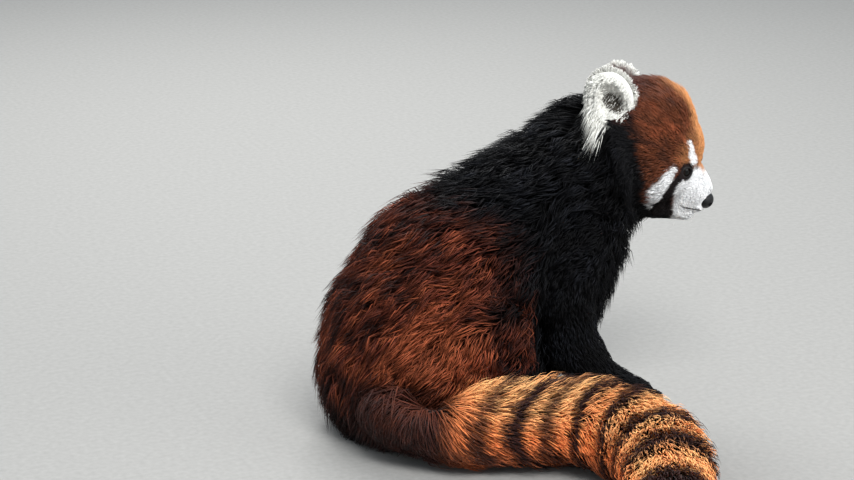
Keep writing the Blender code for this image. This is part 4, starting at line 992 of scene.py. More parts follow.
def in_pieces(name, parts, rows, slot, finish, seed, limit=190000):
    """Builds tufts as a few coat pieces, each under the limit of triangles, split from back to front."""
    starts = parts[0]
    each = 16 if rows == 3 else 10
    total = max(1, math.ceil(len(starts) * each / limit))
    order = np.argsort(starts[:, 0] if slot != "coat_tail" else -starts[:, 1], kind="stable")
    made = []
    for k, chosen in enumerate(np.array_split(order, total)):
        chance = np.random.default_rng(seed + k)
        label = name if total == 1 else f"{name}_{k + 1}"
        made.append(tufts(label, *[part[chosen] for part in parts[:7]], rows, slot, finish, chance))
    return made


def colour_property(label, text, value):
    """A colour that can be changed in the panel."""
    return bpy.props.FloatVectorProperty(name=label, description=text, default=srgb(*value), subtype="COLOR", min=0, max=1)


def length_property(label, text, value):
    """A length that can be changed in the panel."""
    return bpy.props.FloatProperty(name=label, description=text, default=value, unit="LENGTH", min=0.0)


class CoatSettings(bpy.types.PropertyGroup):
    """Sizes and numbers of the tufts, and the coat's colours."""

    body_tufts: bpy.props.IntProperty(name="Body tufts", description="Tufts on neck, trunk and haunches", default=56000, min=100)
    tail_tufts: bpy.props.IntProperty(name="Tail tufts", description="Tufts on the tail", default=22000, min=100)
    head_tufts: bpy.props.IntProperty(name="Head tufts", description="Short tufts on the head", default=34000, min=100)
    leg_tufts: bpy.props.IntProperty(name="Leg tufts", description="Short tufts on legs and feet", default=15000, min=100)
    ear_tufts: bpy.props.IntProperty(name="Ear tufts", description="Tufts on and in each ear", default=5400, min=50)
    body_width: length_property("Body tuft width", "Width of a tuft on the trunk", 0.0015)
    tail_width: length_property("Tail tuft width", "Width of a tuft on the tail", 0.0017)
    head_width: length_property("Head tuft width", "Width of a tuft on the head", 0.0009)
    leg_width: length_property("Leg tuft width", "Width of a tuft on the legs", 0.0014)
    ear_width: length_property("Ear tuft width", "Width of a tuft on the ears", 0.0010)
    head_length: length_property("Head tuft length", "Length of a tuft on cheek and crown", 0.0115)
    ear_fringe: length_property("Ear fringe", "Length of the tufts that hang at the ear's lower edge", 0.042)
    rufous: colour_property("Rufous", "Coat of back and rump", (106, 50, 35))
    flame: colour_property("Flame", "Lighter clumps of the back", (166, 86, 54))
    umber: colour_property("Umber", "Darker clumps of the back", (30, 19, 18))
    black: colour_property("Black", "Coat of neck, chest, belly and legs", (8, 8, 11))
    smoke: colour_property("Smoke", "Greyer tips among the black", (36, 38, 44))
    face: colour_property("Face", "Coat at the side of the head", (103, 55, 33))
    orange: colour_property("Orange", "Crown and bridge of the nose", (204, 142, 90))
    maroon: colour_property("Maroon", "Back of the crown and of the ears", (74, 34, 26))
    white: colour_property("White", "Muzzle, cheeks and brows", (250, 250, 250))
    tear: colour_property("Tear stripe", "Stripe from eye to throat", (26, 19, 19))
    ear: colour_property("Ear", "Rim of the ears", (224, 223, 216))
    hollow: colour_property("Ear hollow", "Inside of the ears", (62, 56, 48))
    tail: colour_property("Tail", "Tail between its rings", (255, 140, 76))
    # Painted highlight laid on the upper side of the tail
    tail_top_highlight: colour_property("Tail top highlight", "Painted highlight on top of the tail", (255, 196, 130))
    ring: colour_property("Ring", "Dark rings of the tail", (44, 15, 9))


class FaceSettings(bpy.types.PropertyGroup):
    """Colours of eyes, nose, lids and claws, and the whiskers' length."""

    iris: colour_property("Iris", "Colour of the eye round its pupil", (28, 15, 10))
    nose: colour_property("Nose", "Colour of the nose pad", (6, 6, 8))
    lid: colour_property("Lid", "Colour of lid rims and lips", (13, 9, 9))
    claw: colour_property("Claw", "Colour of the claws", (196, 178, 150))
    whisker: length_property("Whisker", "Length of the longest whisker", 0.045)


class StageSettings(bpy.types.PropertyGroup):
    """Colour of the floor and strength of the light."""

    floor: colour_property("Floor", "Colour of the floor", (140, 139, 136))
    light: bpy.props.FloatProperty(name="Light", description="Strength of the key light", default=66.0, min=0.0, unit="POWER")


class REDPANDA_OT_skin(bpy.types.Operator):
    """Make the skin of the whole animal, with sockets, mouth and ears"""

    bl_idname = "redpanda.skin"
    bl_label = "Skin"

    def execute(self, context):
        bm = bmesh.new()
        for rows in limbs():
            add_chain(bm, rows)
        add_head(bm)
        for side in (1, -1):
            add_toes(bm, HIND_CHAIN, side)
            add_toes(bm, FORE_CHAIN, side)
        skin = object_from("skin", bm)
        fuse = skin.modifiers.new("fuse", "REMESH")
        fuse.mode = "VOXEL"
        fuse.voxel_size = SKIN_VOXEL
        even = skin.modifiers.new("even", "SMOOTH")
        even.factor = 0.5
        even.iterations = SKIN_ROUNDS
        applied(skin)
        settle(tree_of(skin.data))
        bm = bmesh.new()
        tube(bm, mouth_spots(tree_of(skin.data)), [MOUTH_GROOVE * r for r in (0.4, *(1,) * 7, 0.4)])
        boolean(skin, "DIFFERENCE", object_from("groove", bm))
        for side in (1, -1):
            boolean(skin, "UNION", ear_cup(side))
            boolean(skin, "UNION", eye_ball("lid", side, EYE_GAP + LID_THICKNESS, 40))
            boolean(skin, "DIFFERENCE", eye_ball("socket", side, EYE_GAP, 40))
            bm = bmesh.new()
            ahead = Matrix.Translation((EYE_RADIUS + LID_THICKNESS, 0, 0))
            add_ball(bm, (0, 0, 0), EYE_SLIT, eye_frame(side) @ ahead, 4)
            boolean(skin, "DIFFERENCE", object_from("slit", bm))
        bm = bmesh.new()
        bmesh.ops.create_cube(bm, size=2.0, matrix=Matrix.Translation((0, 0, 1.0 + LOWEST)))
        boolean(skin, "INTERSECT", object_from("above", bm))
        paint(skin, palette_of(context.scene.panda_coat))
        bare = skin.data.copy()
        bare.name, bare.use_fake_user = "bare skin", True
        skin.data.materials.clear()
        # Painted shade: this finish darkens the skin to a fraction of its colour where its along is low, between the
        # tufts of trunk, legs and tail
        skin.data.materials.append(coat_material("skin coat", 0.12, 0.5, 900.0, 0.7, 0.1, 0.0, 0.6))
        skin.data.shade_smooth()
        ride(skin, "coat_red")
        return {"FINISHED"}


def fringe_room(found):
    """How much of the neck's coat stays beside the fringe that hangs from each ear."""
    return smooth(0.018, 0.034, np.linalg.norm(mirrored(found["local"]) - (-0.042, 0.050, 0.004), axis=1))


def body_weight(found, points):
    """Where the long coat of neck, trunk and haunches is rooted."""
    limb, share = found["limb"], found["share"]
    upper = np.isin(limb, (TORSO, BELLY)) * 1.0
    upper += np.isin(limb, (HIND_LEFT, HIND_RIGHT)) * smooth(0.60, 0.52, share)
    upper += np.isin(limb, (FORE_LEFT, FORE_RIGHT)) * smooth(0.36, 0.24, share)
    return upper * (0.25 + 0.75 * smooth(0.006, 0.030, points[:, 2])) * (0.15 + 0.85 * fringe_room(found))


def leg_weight(found, points):
    """Where the short coat of shanks, forelegs and feet is rooted."""
    limb, share = found["limb"], found["share"]
    lower = np.isin(limb, (HIND_LEFT, HIND_RIGHT)) * smooth(0.48, 0.56, share)
    lower += np.isin(limb, (FORE_LEFT, FORE_RIGHT)) * smooth(0.18, 0.28, share)
    return lower * (0.15 + 0.85 * smooth(0.001, 0.006, points[:, 2])) * (1 + 0.8 * smooth(0.05, 0.02, points[:, 2]))


def tail_weight(found, points):
    """Where the tail's coat is rooted."""
    ends = 1 + smooth(0.82, 0.90, found["share"]) + 1.6 * smooth(0.26, 0.14, found["share"])
    return (found["limb"] == TAIL) * (0.4 + 0.6 * smooth(0.012, 0.030, points[:, 2])) * ends


def tail_length(found, points):
    """Lengths of the tail's tufts, a little less at its end."""
    root = 1 + 0.5 * smooth(0.26, 0.12, found["share"])
    return (0.011 + 0.85 * found["depth"]) * root * (1 - 0.35 * smooth(0.74, 0.88, found["share"]))


def mirrored(local):
    """Head measures with both sides laid on the left one."""
    return np.stack((local[:, 0], np.abs(local[:, 1]), local[:, 2]), axis=1)


def head_weight(found, points):
    """Where the head's short coat is rooted: all over but for eyes, nose and the line of the mouth."""
    local = mirrored(found["local"])
    front = np.array(EYE_CENTRE) + np.array(EYE_AIM.normalized()) * EYE_RADIUS
    eye = np.linalg.norm(local - front, axis=1)
    nose = np.linalg.norm((local - np.array(NOSE_CENTRE)) / np.array(NOSE_RADII), axis=1)
    mouth = capsule(local, MARKS["mouth"])
    free = (found["limb"] == HEAD) * (eye > 0.0072) * (nose > 1.08) * (mouth > 0)
    return free * (1 + 1.6 * smooth(0.030, 0.052, local[:, 0]))


def head_length(settings):
    """Lengths of the head's tufts: shortest on the muzzle and round the eyes, longest in the ruff."""
    def length(found, points):
        local = mirrored(found["local"])
        eye = np.linalg.norm(local - np.array(EYE_CENTRE), axis=1)
        size = settings.head_length * (0.40 + 0.60 * smooth(0.056, 0.034, local[:, 0]) * smooth(0.009, 0.020, eye))
        size = size + 0.012 * smooth(0.024, 0.000, local[:, 0]) * smooth(0.008, -0.022, local[:, 2])
        size = size + 0.004 * smooth(0.015, 0.045, local[:, 2]) * smooth(0.045, 0.010, local[:, 0])
        return size * (0.45 + 0.55 * smooth(0.0, 0.005, capsule(local, MARKS["mouth"])))
    return length


def head_lift(found, points):
    """How far the tips of the head's tufts stand off the skin."""
    local = mirrored(found["local"])
    crown = smooth(0.015, 0.045, local[:, 2]) * smooth(0.045, 0.010, local[:, 0])
    return found["depth"] * (1 + 0.5 * smooth(0.024, 0.000, local[:, 0]) * smooth(0.008, -0.022, local[:, 2]) + 0.9 * crown)


def body_depth(found, points):
    """Tips of the long coat at its full depth, but for the fringe of the ears."""
    return found["depth"] * (0.35 + 0.65 * fringe_room(found))


def full_depth(found, points):
    """Tips at the coat's full depth."""
    return found["depth"]


def bare_skin():
    """The skin's mesh where the measures have it."""
    mesh = bpy.data.meshes.get("bare skin")
    if mesh is None:
        raise RuntimeError("the skin is missing, so its operator has to run first")
    return mesh


class REDPANDA_OT_body(bpy.types.Operator):
    """Make the long coat of neck, back, flanks, chest and haunches"""

    bl_idname = "redpanda.body"
    bl_label = "Body coat"

    def execute(self, context):
        coat = context.scene.panda_coat
        look = (2, 22, 0.55, 0.85, 0.002, 0.9, 0.60, None)
        parts = combed(bare_skin(), body_weight, coat.body_tufts, lambda found, points: 0.010 + 0.85 * found["depth"],
                       lambda found, points: coat.body_width * (0.62 + 14 * found["depth"]), body_depth, coat, 71, look)
        finish = coat_material("long coat", 0.08, 0.6, 500.0, 0.65, 0.12, 0.0, 0.3)
        in_pieces("coat_body", parts, 2, "coat_red", finish, 710)
        return {"FINISHED"}


class REDPANDA_OT_legs(bpy.types.Operator):
    """Make the short coat of shanks, forelegs and feet"""

    bl_idname = "redpanda.legs"
    bl_label = "Leg coat"

    def execute(self, context):
        coat = context.scene.panda_coat
        look = (2, 12, 0.4, 0.3, 0.003, 0.6, 0.4, None)
        parts = combed(bare_skin(), leg_weight, coat.leg_tufts, lambda found, points: 0.0085 + 1.1 * found["depth"],
                       lambda found, points: coat.leg_width, lambda found, points: 0.0008 + found["depth"] * 0.8,
                       coat, 72, look)
        finish = coat_material("short dark coat", 0.3, 0.5, 700.0, 0.65, 0.12, 0.0, 0.3)
        in_pieces("coat_legs", parts, 2, "coat_black", finish, 720)
        return {"FINISHED"}


class REDPANDA_OT_tail(bpy.types.Operator):
    """Make the tail's bushy ringed coat"""

    bl_idname = "redpanda.tail"
    bl_label = "Tail coat"

    def execute(self, context):
        coat = context.scene.panda_coat
        look = (3, 10, 0.30, 0.22, 0.0010, 1.0, 0.10, TAIL)
        parts = combed(bare_skin(), tail_weight, coat.tail_tufts, tail_length, lambda found, points: coat.tail_width,
                       full_depth, coat, 73, look)
        finish = coat_material("tail coat", 0.80, 0.4, 500.0, 0.6, 0.2, 0.05, 0.3)
        in_pieces("coat_tail", parts, 3, "coat_tail", finish, 730)
        return {"FINISHED"}


class REDPANDA_OT_head(bpy.types.Operator):
    """Make the head's short coat and the ruff of the cheeks"""

    bl_idname = "redpanda.head"
    bl_label = "Head coat"

    def execute(self, context):
        coat = context.scene.panda_coat
        look = (2, 10, 0.3, 0.35, 0.0006, 0.3, 0.25, None)
        parts = combed(bare_skin(), head_weight, coat.head_tufts, head_length(coat),
                       lambda found, points: coat.head_width * (0.8 + 60 * found["depth"]), head_lift, coat, 74, look)
        finish = coat_material("face coat", 0.8, 0.45, 1100.0, 0.6, 0.15, 0.02, 0.2)
        in_pieces("coat_head", parts, 2, "coat_face", finish, 740)
        return {"FINISHED"}


class REDPANDA_OT_ears(bpy.types.Operator):
    """Make the ears' fringe, the hair across their hollows and the tufts that hang behind"""

    bl_idname = "redpanda.ears"
    bl_label = "Ear coat"

    def execute(self, context):
        coat = context.scene.panda_coat
        finish = coat_material("ear coat", 0.92, 0.25, 900.0, 0.6, 0.2, 0.05, 0.2)
        palette = palette_of(coat)
        for number, side, word in ((EAR_LEFT, 1, "left"), (EAR_RIGHT, -1, "right")):
            chance = np.random.default_rng(75 + side)
            wanted = lambda found, points, number=number: (found["limb"] == number) * 1.0
            roots, ups, found = sampled(bare_skin(), wanted, coat.ear_tufts, chance)
            matrix = ear_frame(side)
            spot = in_frame(matrix, roots)
            turn = np.degrees(np.arctan2(side * spot[:, 1], spot[:, 2]))
            hang = (smooth(50, 110, turn) + smooth(-150, -172, turn)) * smooth(-0.006, 0.002, spot[:, 0])
            inside = (spot - (EAR_HOLLOW_SHIFT, 0, 0)) / (np.array(EAR_HOLLOW) * 1.03)
            inner = np.linalg.norm(inside, axis=1) < 1
            hole = np.linalg.norm((spot[:, 1:] - (-0.004 * side, -0.001)) / (0.0105, 0.0155), axis=1)
            deep = inner & (hole < 0.9)
            radial = unit(spot * (0, 1, 1))
            down = np.array(head_matrix().to_3x3() @ Vector((EAR_HANG.x, side * EAR_HANG.y, EAR_HANG.z)))
            across = in_world(matrix, np.array((0.45, 0.75 * side, -0.60)))
            out = in_world(matrix, radial)
            opening = in_world(matrix, np.array((1.0, 0.0, 0.0)))
            round_rim = in_world(matrix, np.cross((1.0, 0.0, 0.0), radial))
            sweep = round_rim * np.sign(round_rim @ down)[:, None]
            flow = in_world(head_matrix(), np.array((-0.50, 0.15 * side, -0.85)))
            rear = smooth(-0.3, 0.4, np.sin(np.radians(turn)))[:, None]
            rim = flow * 0.7 + sweep * 0.35 + out * (0.35 * rear - 0.15) + opening * (0.10 + 1.0 * hang)[:, None]
            rim = rim + down * (2.4 * hang)[:, None]
            wall = flow * 0.8 + opening * 0.45 + across * 0.3
            heading = np.where(inner[:, None], wall, rim)
            heading = np.where(deep[:, None], across + flow * 0.5 + opening * 0.10, heading)
            back = (~inner) & (spot[:, 0] < -0.002)
            heading = np.where(back[:, None], out + ups * 0.25 + down * 0.2, heading)
            heading = unit(unit(heading) + chance.normal(0, 0.13, (len(roots), 3)))
            edge = smooth(0.72, 0.95, np.linalg.norm(spot[:, 1:] / np.array(EAR_OUTER)[1:], axis=1))
            length = 0.0105 + hang * (coat.ear_fringe - 0.0105) * edge
            length = np.where(inner, 0.0095, length) * chance.uniform(0.7, 1.15, len(roots))
            length = np.where(back, 0.0085, length)
            droop = down * (length * (0.04 + 0.20 * hang))[:, None]
            middles = roots + heading * (length * 0.5)[:, None] + ups * 0.0018 + opening * (0.008 * hang * edge)[:, None]
            ends = roots + heading * length[:, None] + droop + opening * (0.004 * hang * edge)[:, None]
            ends, guides = gathered(roots, ends, 0.45, 9)
            colours = marking(roots, palette)
            pale = deep & (chance.random(len(roots)) < 0.22)
            colours = np.where(pale[:, None], palette["ear"] * 0.75, colours)
            colours = colours * np.clip(1 + chance.normal(0, 0.07, len(roots)), 0.7, 1.2)[:, None]
            colours = np.repeat(np.clip(colours, 0, 0.95)[:, None], 3, axis=1)
            widths = coat.ear_width * chance.uniform(0.7, 1.2, len(roots))
            parts = (roots - ups * 0.001, middles, ends, ups, widths, colours, unwrapped(found))
            in_pieces(f"coat_ear_{word}", parts, 2, "coat_white", finish, 750)
        return {"FINISHED"}


def eye_material(colour):
    """A wet dark eye: pupil, iris and darker edge by the angle from its aim."""
    made = bpy.data.materials.new("eye")
    made.use_nodes = True
    nodes, links = made.node_tree.nodes, made.node_tree.links
    shader = nodes["Principled BSDF"]
    read = nodes.new("ShaderNodeAttribute")
    read.attribute_name = "gaze"
    ramp = nodes.new("ShaderNodeValToRGB")
    stops = ramp.color_ramp.elements
    stops[0].position, stops[0].color = 0.24, (0.002, 0.002, 0.002, 1)
    stops[1].position, stops[1].color = 0.62, (0.006, 0.004, 0.003, 1)
    ring = stops.new(0.29)
    ring.color = (*colour, 1)
    edge = stops.new(0.46)
    edge.color = (*[0.5 * v for v in colour], 1)
    fine = nodes.new("ShaderNodeTexNoise")
    fine.inputs["Scale"].default_value = 900.0
    place = nodes.new("ShaderNodeTexCoord")
    links.new(place.outputs["Object"], fine.inputs["Vector"])
    blend = nodes.new("ShaderNodeMix")
    blend.data_type = "RGBA"
    blend.blend_type = "MULTIPLY"
    blend.inputs["Factor"].default_value = 0.5
    links.new(read.outputs["Fac"], ramp.inputs["Fac"])
    links.new(ramp.outputs["Color"], blend.inputs["A"])
    links.new(fine.outputs["Fac"], blend.inputs["B"])
    links.new(blend.outputs["Result"], shader.inputs["Base Color"])
    shader.inputs["Roughness"].default_value = 0.10
    shader.inputs["Specular IOR Level"].default_value = 0.16
    return made


def grained(name, colour, rough, scale, depth, coat=0.0, cells=False):
    """A finish of one colour varied by fine grain, which also raises its surface."""
    made = bpy.data.materials.new(name)
    made.use_nodes = True
    nodes, links = made.node_tree.nodes, made.node_tree.links
    shader = nodes["Principled BSDF"]
    place = nodes.new("ShaderNodeTexCoord")
    grain = nodes.new("ShaderNodeTexVoronoi" if cells else "ShaderNodeTexNoise")
    grain.inputs["Scale"].default_value = scale
    links.new(place.outputs["Object"], grain.inputs["Vector"])
    height = grain.outputs["Distance" if cells else "Fac"]
    ramp = nodes.new("ShaderNodeValToRGB")
    stops = ramp.color_ramp.elements
    stops[0].color = (*[v * 0.85 for v in colour], 1)
    stops[1].color = (*[min(1.0, v * 1.15) for v in colour], 1)
    links.new(height, ramp.inputs["Fac"])
    links.new(ramp.outputs["Color"], shader.inputs["Base Color"])
    raised = nodes.new("ShaderNodeBump")
    raised.inputs["Strength"].default_value = 0.6
    raised.inputs["Distance"].default_value = depth
    links.new(height, raised.inputs["Height"])
    links.new(raised.outputs["Normal"], shader.inputs["Normal"])
    shader.inputs["Roughness"].default_value = rough
    shader.inputs["Specular IOR Level"].default_value = 0.3
    shader.inputs["Coat Weight"].default_value = coat
    return made


class REDPANDA_OT_eyes(bpy.types.Operator):
    """Make the two eyeballs"""

    bl_idname = "redpanda.eyes"
    bl_label = "Eyes"

    def execute(self, context):
        finish = eye_material(context.scene.panda_face.iris)
        for side, word in ((1, "left"), (-1, "right")):
            ball = eye_ball(f"eyeball_{word}", side, 0.0, 48)
            matrix = eye_frame(side)
            points = np.array([v.co for v in ball.data.vertices])
            aim = unit(in_frame(matrix, points))[:, 0]
            gaze = np.arccos(np.clip(aim, -1, 1)) / (math.pi / 2)
            ball.data.attributes.new("gaze", "FLOAT", "POINT").data.foreach_set("value", gaze)
            ball.data.materials.append(finish)
            ball.data.shade_smooth()
            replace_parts(ride(ball, "eye"), f"eye_{word}")
        return {"FINISHED"}


class REDPANDA_OT_nose(bpy.types.Operator):
    """Make the nose pad with its nostrils"""

    bl_idname = "redpanda.nose"
    bl_label = "Nose"

    def execute(self, context):
        bm = bmesh.new()
        add_globe(bm, head_matrix() @ Matrix.Translation(NOSE_CENTRE), NOSE_RADII, 56)
        nose = object_from("nose_pad", bm)
        for side in (1, -1):
            bm = bmesh.new()
            x, y, z = NOSTRIL_CENTRE
            add_ball(bm, (x, side * y, z), NOSTRIL_RADII, head_matrix())
            boolean(nose, "DIFFERENCE", object_from("nostril", bm))
        finish = grained("nose leather", context.scene.panda_face.nose, 0.42, 1500.0, 0.0003, 0.05, True)
        nose.data.materials.clear()
        nose.data.materials.append(finish)
        nose.data.shade_smooth()
        nose.data.set_sharp_from_angle(angle=math.radians(50))
        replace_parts(ride(nose, "nose_skin"), "nose")
        return {"FINISHED"}


def tube_tree():
    """A node tree that turns edges into tapered tubes with a radius that the edges carry."""
    made = bpy.data.node_groups.get("tapered tubes")
    if made:
        return made
    made = bpy.data.node_groups.new("tapered tubes", "GeometryNodeTree")
    made.interface.new_socket("Geometry", in_out="INPUT", socket_type="NodeSocketGeometry")
    for name, kind, value in (("Thickness", "NodeSocketFloat", 1.0), ("Sides", "NodeSocketInt", 6)):
        made.interface.new_socket(name, in_out="INPUT", socket_type=kind).default_value = value
    made.interface.new_socket("Material", in_out="INPUT", socket_type="NodeSocketMaterial")
    made.interface.new_socket("Geometry", in_out="OUTPUT", socket_type="NodeSocketGeometry")
    nodes, links = made.nodes, made.links
    given, out = nodes.new("NodeGroupInput"), nodes.new("NodeGroupOutput")
    curve = nodes.new("GeometryNodeMeshToCurve")
    thick = nodes.new("GeometryNodeInputNamedAttribute")
    thick.data_type = "FLOAT"
    thick.inputs["Name"].default_value = "thick"
    times = nodes.new("ShaderNodeMath")
    times.operation = "MULTIPLY"
    radius = nodes.new("GeometryNodeSetCurveRadius")
    ring = nodes.new("GeometryNodeCurvePrimitiveCircle")
    ring.inputs["Radius"].default_value = 1.0
    sweep = nodes.new("GeometryNodeCurveToMesh")
    sweep.inputs["Fill Caps"].default_value = True
    real = nodes.new("GeometryNodeRealizeInstances")
    dress = nodes.new("GeometryNodeSetMaterial")
    links.new(given.outputs["Geometry"], curve.inputs["Mesh"])
    links.new(curve.outputs["Curve"], radius.inputs["Curve"])
    links.new(thick.outputs["Attribute"], times.inputs[0])
    links.new(given.outputs["Thickness"], times.inputs[1])
    links.new(times.outputs[0], radius.inputs["Radius"])
    links.new(given.outputs["Sides"], ring.inputs["Resolution"])
    links.new(radius.outputs["Curve"], sweep.inputs["Curve"])
    links.new(ring.outputs["Curve"], sweep.inputs["Profile Curve"])
    if "Scale" in sweep.inputs:
        links.new(times.outputs[0], sweep.inputs["Scale"])
    links.new(sweep.outputs["Mesh"], real.inputs["Geometry"])
    links.new(real.outputs["Geometry"], dress.inputs["Geometry"])
    links.new(given.outputs["Material"], dress.inputs["Material"])
    links.new(dress.outputs["Geometry"], out.inputs["Geometry"])
    return made


def tubes(name, paths, sides, finish, slot, closed=False):
    """Sweeps tapered tubes along paths of places and radii as one piece."""
    places, edges, radii = [], [], []
    for path in paths:
        first = len(places)
        for spot, radius in path:
            places.append(Vector(spot))
            radii.append(radius)
        edges += [(k, k + 1) for k in range(first, len(places) - 1)]
        if closed:
            edges.append((len(places) - 1, first))
    mesh = bpy.data.meshes.new(name)
    mesh.from_pydata(places, edges, [])
    mesh.attributes.new("thick", "FLOAT", "POINT").data.foreach_set("value", radii)
    thing = new_object(name, mesh)
    sweep = thing.modifiers.new("tubes", "NODES")
    sweep.node_group = tube_tree()
    for item in sweep.node_group.interface.items_tree:
        if item.in_out == "INPUT" and item.name in ("Sides", "Material"):
            sweep[item.identifier] = sides if item.name == "Sides" else finish
    applied(thing)
    bm = bmesh.new()
    bm.from_mesh(thing.data)
    bmesh.ops.recalc_face_normals(bm, faces=bm.faces)
    bm.to_mesh(thing.data)
    bm.free()
    thing.data.shade_smooth()
    return ride(thing, slot)


class REDPANDA_OT_lids(bpy.types.Operator):
    """Make the rims of the eyelids and the edge of the lips"""

    bl_idname = "redpanda.lids"
    bl_label = "Lids and lips"

    def execute(self, context):
        finish = grained("lid skin", context.scene.panda_face.lid, 0.55, 900.0, 0.0002)
        paths = []
        away = EYE_RADIUS + LID_THICKNESS
        for side in (1, -1):
            matrix = eye_frame(side)
            path = []
            for step in range(36):
                a = 2 * math.pi * step / 36
                low, high = 0.05, 1.4
                for _ in range(30):
                    tilt = (low + high) / 2
                    x, r = away * math.cos(tilt), away * math.sin(tilt)
                    form = ((x - away) / EYE_SLIT[0]) ** 2 + (r * math.cos(a) / EYE_SLIT[1]) ** 2 + (r * math.sin(a) / EYE_SLIT[2]) ** 2
                    low, high = (tilt, high) if form < 1 else (low, tilt)
                spot = matrix @ Vector((x, r * math.cos(a), r * math.sin(a)))
                path.append((spot, 0.00075 + 0.0003 * abs(math.cos(a))))
            paths.append(path)
        tubes("lid_rims", paths, 8, finish, "nose_skin", True)
        spots = mouth_spots(tree_of(bare_skin()))
        path = [(spot + normal * 0.0012, 0.0009) for spot, normal in spots]
        path[0], path[-1] = (path[0][0], 0.0004), (path[-1][0], 0.0004)
        tubes("lips", [path], 8, finish, "nose_skin")
        return {"FINISHED"}


class REDPANDA_OT_whiskers(bpy.types.Operator):
    """Make the whiskers of the muzzle"""

    bl_idname = "redpanda.whiskers"
    bl_label = "Whiskers"

    def execute(self, context):
        finish = grained("whisker", srgb(214, 208, 198), 0.4, 600.0, 0.0001)
        longest = context.scene.panda_face.whisker
        matrix = head_matrix()
        paths = []
        for side in (1, -1):
            roots = [(0.068 - 0.0050 * column, side * (0.0130 + 0.0035 * column), -0.0335 - 0.0050 * row, column, row)
                     for column in range(3) for row in range(2)]
            for x, y, z, column, row in roots:
                reach = longest * (0.55 + 0.14 * column - 0.06 * row)
                way = Vector((0.55 - 0.15 * column, side * 1.0, -0.25 - 0.15 * row)).normalized()
                sag = Vector((-0.10, 0.0, -0.22))
                path = []
                for step in range(7):
                    t = step / 6
                    spot = Vector((x, y * 0.92, z)) + way * reach * t + sag * reach * t * t
                    path.append((matrix @ spot, 0.00014 * (1 - 0.85 * t)))
                paths.append(path)
        tubes("whiskers", paths, 5, finish, "coat_white")
        return {"FINISHED"}


class REDPANDA_OT_claws(bpy.types.Operator):
    """Make the claws of all four feet"""

    bl_idname = "redpanda.claws"
    bl_label = "Claws"

    def execute(self, context):
        finish = grained("claw horn", context.scene.panda_face.claw, 0.35, 500.0, 0.0002, 0.2)
        paths = []
        for stations in (HIND_CHAIN, FORE_CHAIN):
            for side in (1, -1):
                x, y, z, radius, width, loft = stations[-1]
                for k in range(TOES):
                    turn = math.radians(TOE_FAN) * (k / (TOES - 1) - 0.5)
                    out = radius + TOE_RADIUS * 0.55 + TOE_REACH * 0.3
                    root = Vector((x + out * math.cos(turn), side * y + out * width * math.sin(turn), TOE_RADIUS * CLAW_LIFT))
                    ahead = Vector((math.cos(turn), math.sin(turn), 0.0))
                    paths.append([(root + ahead * share * CLAW_LENGTH + Vector((0, 0, drop * CLAW_LENGTH)), CLAW_RADIUS * size)
                                  for share, drop, size in CLAW_PATH])
        tubes("claws", paths, 8, finish, "nose_skin")
        return {"FINISHED"}


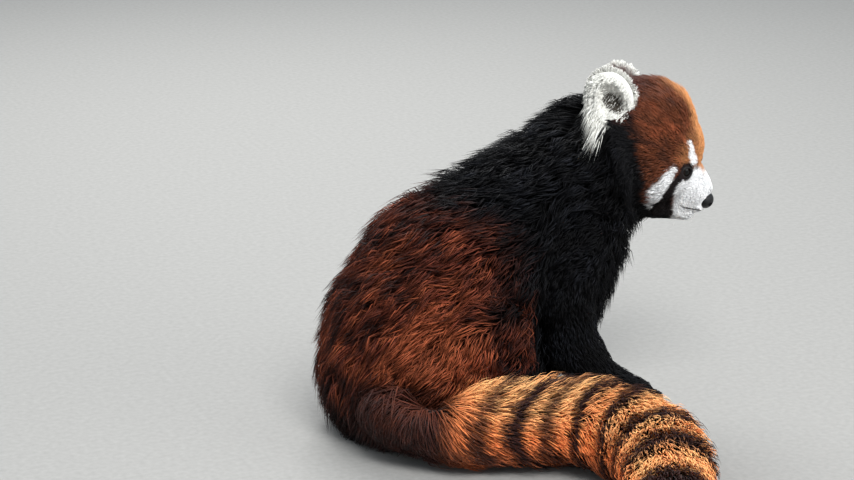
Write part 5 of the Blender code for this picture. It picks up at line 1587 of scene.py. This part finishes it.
class REDPANDA_OT_stage(bpy.types.Operator):
    """Make the floor, the soft lights and the camera"""

    bl_idname = "redpanda.stage"
    bl_label = "Stage"

    def execute(self, context):
        scene = context.scene
        stage = scene.panda_stage
        bm = bmesh.new()
        bmesh.ops.create_grid(bm, x_segments=2, y_segments=2, size=8.0)
        floor = object_from("floor", bm)
        floor.data.materials.append(grained("floor", stage.floor, 0.8, 160.0, 0.0001))
        world = bpy.data.worlds.new("sky")
        world.use_nodes = True
        world.node_tree.nodes["Background"].inputs["Color"].default_value = (0.80, 0.86, 0.92, 1)
        world.node_tree.nodes["Background"].inputs["Strength"].default_value = 0.85
        scene.world = world
        for name, place, size, power in (("key", (-0.3, -1.3, 2.0), 1.1, 1.0), ("fill", (1.6, -1.7, 1.0), 1.6, 0.35),
                                         ("rim", (0.3, 1.7, 1.7), 1.3, 0.8)):
            lamp = bpy.data.lights.new(name, "AREA")
            lamp.size = size
            lamp.energy = stage.light * power
            holder = bpy.data.objects.new(name, lamp)
            scene.collection.objects.link(holder)
            holder.location = place
            aim = Vector((0, 0, 0.15)) - Vector(place)
            holder.rotation_euler = aim.to_track_quat("-Z", "Y").to_euler()
        rise, turn = CAMERA_RISE, CAMERA_TURN
        back = Vector((math.sin(turn) * math.cos(rise), -math.cos(turn) * math.cos(rise), math.sin(rise)))
        right = Vector((math.cos(turn), math.sin(turn), 0.0))
        above = back.cross(right)
        lens = bpy.data.cameras.new("camera")
        lens.lens = CAMERA_LENS
        lens.clip_end = 30.0
        camera = bpy.data.objects.new("camera", lens)
        scene.collection.objects.link(camera)
        camera.matrix_world = Matrix.Translation(right * CAMERA_AIM[0] + above * CAMERA_AIM[1] + back * CAMERA_AWAY - CENTRE) @ (
            Matrix((right, above, back)).transposed().to_4x4())
        scene.camera = camera
        scene.view_settings.view_transform = "Standard"
        return {"FINISHED"}


OPERATORS = (REDPANDA_OT_stage, REDPANDA_OT_skin, REDPANDA_OT_body, REDPANDA_OT_legs, REDPANDA_OT_tail, REDPANDA_OT_head,
             REDPANDA_OT_ears, REDPANDA_OT_eyes, REDPANDA_OT_nose, REDPANDA_OT_lids, REDPANDA_OT_whiskers, REDPANDA_OT_claws)


class REDPANDA_PT_panel(bpy.types.Panel):
    """Lists the settings and the operators in the order they run"""

    bl_idname = "REDPANDA_PT_panel"
    bl_label = "Red panda"
    bl_space_type = "VIEW_3D"
    bl_region_type = "UI"
    bl_category = "Red panda"

    def draw(self, context):
        for settings in (context.scene.panda_coat, context.scene.panda_face, context.scene.panda_stage):
            box = self.layout.box()
            for name in settings.__annotations__:
                box.prop(settings, name)
        for operator in OPERATORS:
            self.layout.operator(operator.bl_idname)


CLASSES = (CoatSettings, FaceSettings, StageSettings, *OPERATORS, REDPANDA_PT_panel)


def register():
    """Adds the classes and their settings."""
    for each in CLASSES:
        bpy.utils.register_class(each)
    bpy.types.Scene.panda_coat = bpy.props.PointerProperty(type=CoatSettings)
    bpy.types.Scene.panda_face = bpy.props.PointerProperty(type=FaceSettings)
    bpy.types.Scene.panda_stage = bpy.props.PointerProperty(type=StageSettings)


def unregister():
    """Takes the classes and their settings away."""
    del bpy.types.Scene.panda_coat, bpy.types.Scene.panda_face, bpy.types.Scene.panda_stage
    for each in reversed(CLASSES):
        bpy.utils.unregister_class(each)


def main():
    """Builds everything in order."""
    register()
    for operator in OPERATORS:
        area, name = operator.bl_idname.split(".")
        getattr(getattr(bpy.ops, area), name)()
    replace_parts(need("skin"), *FLESH)


if __name__ == "__main__":
    main()
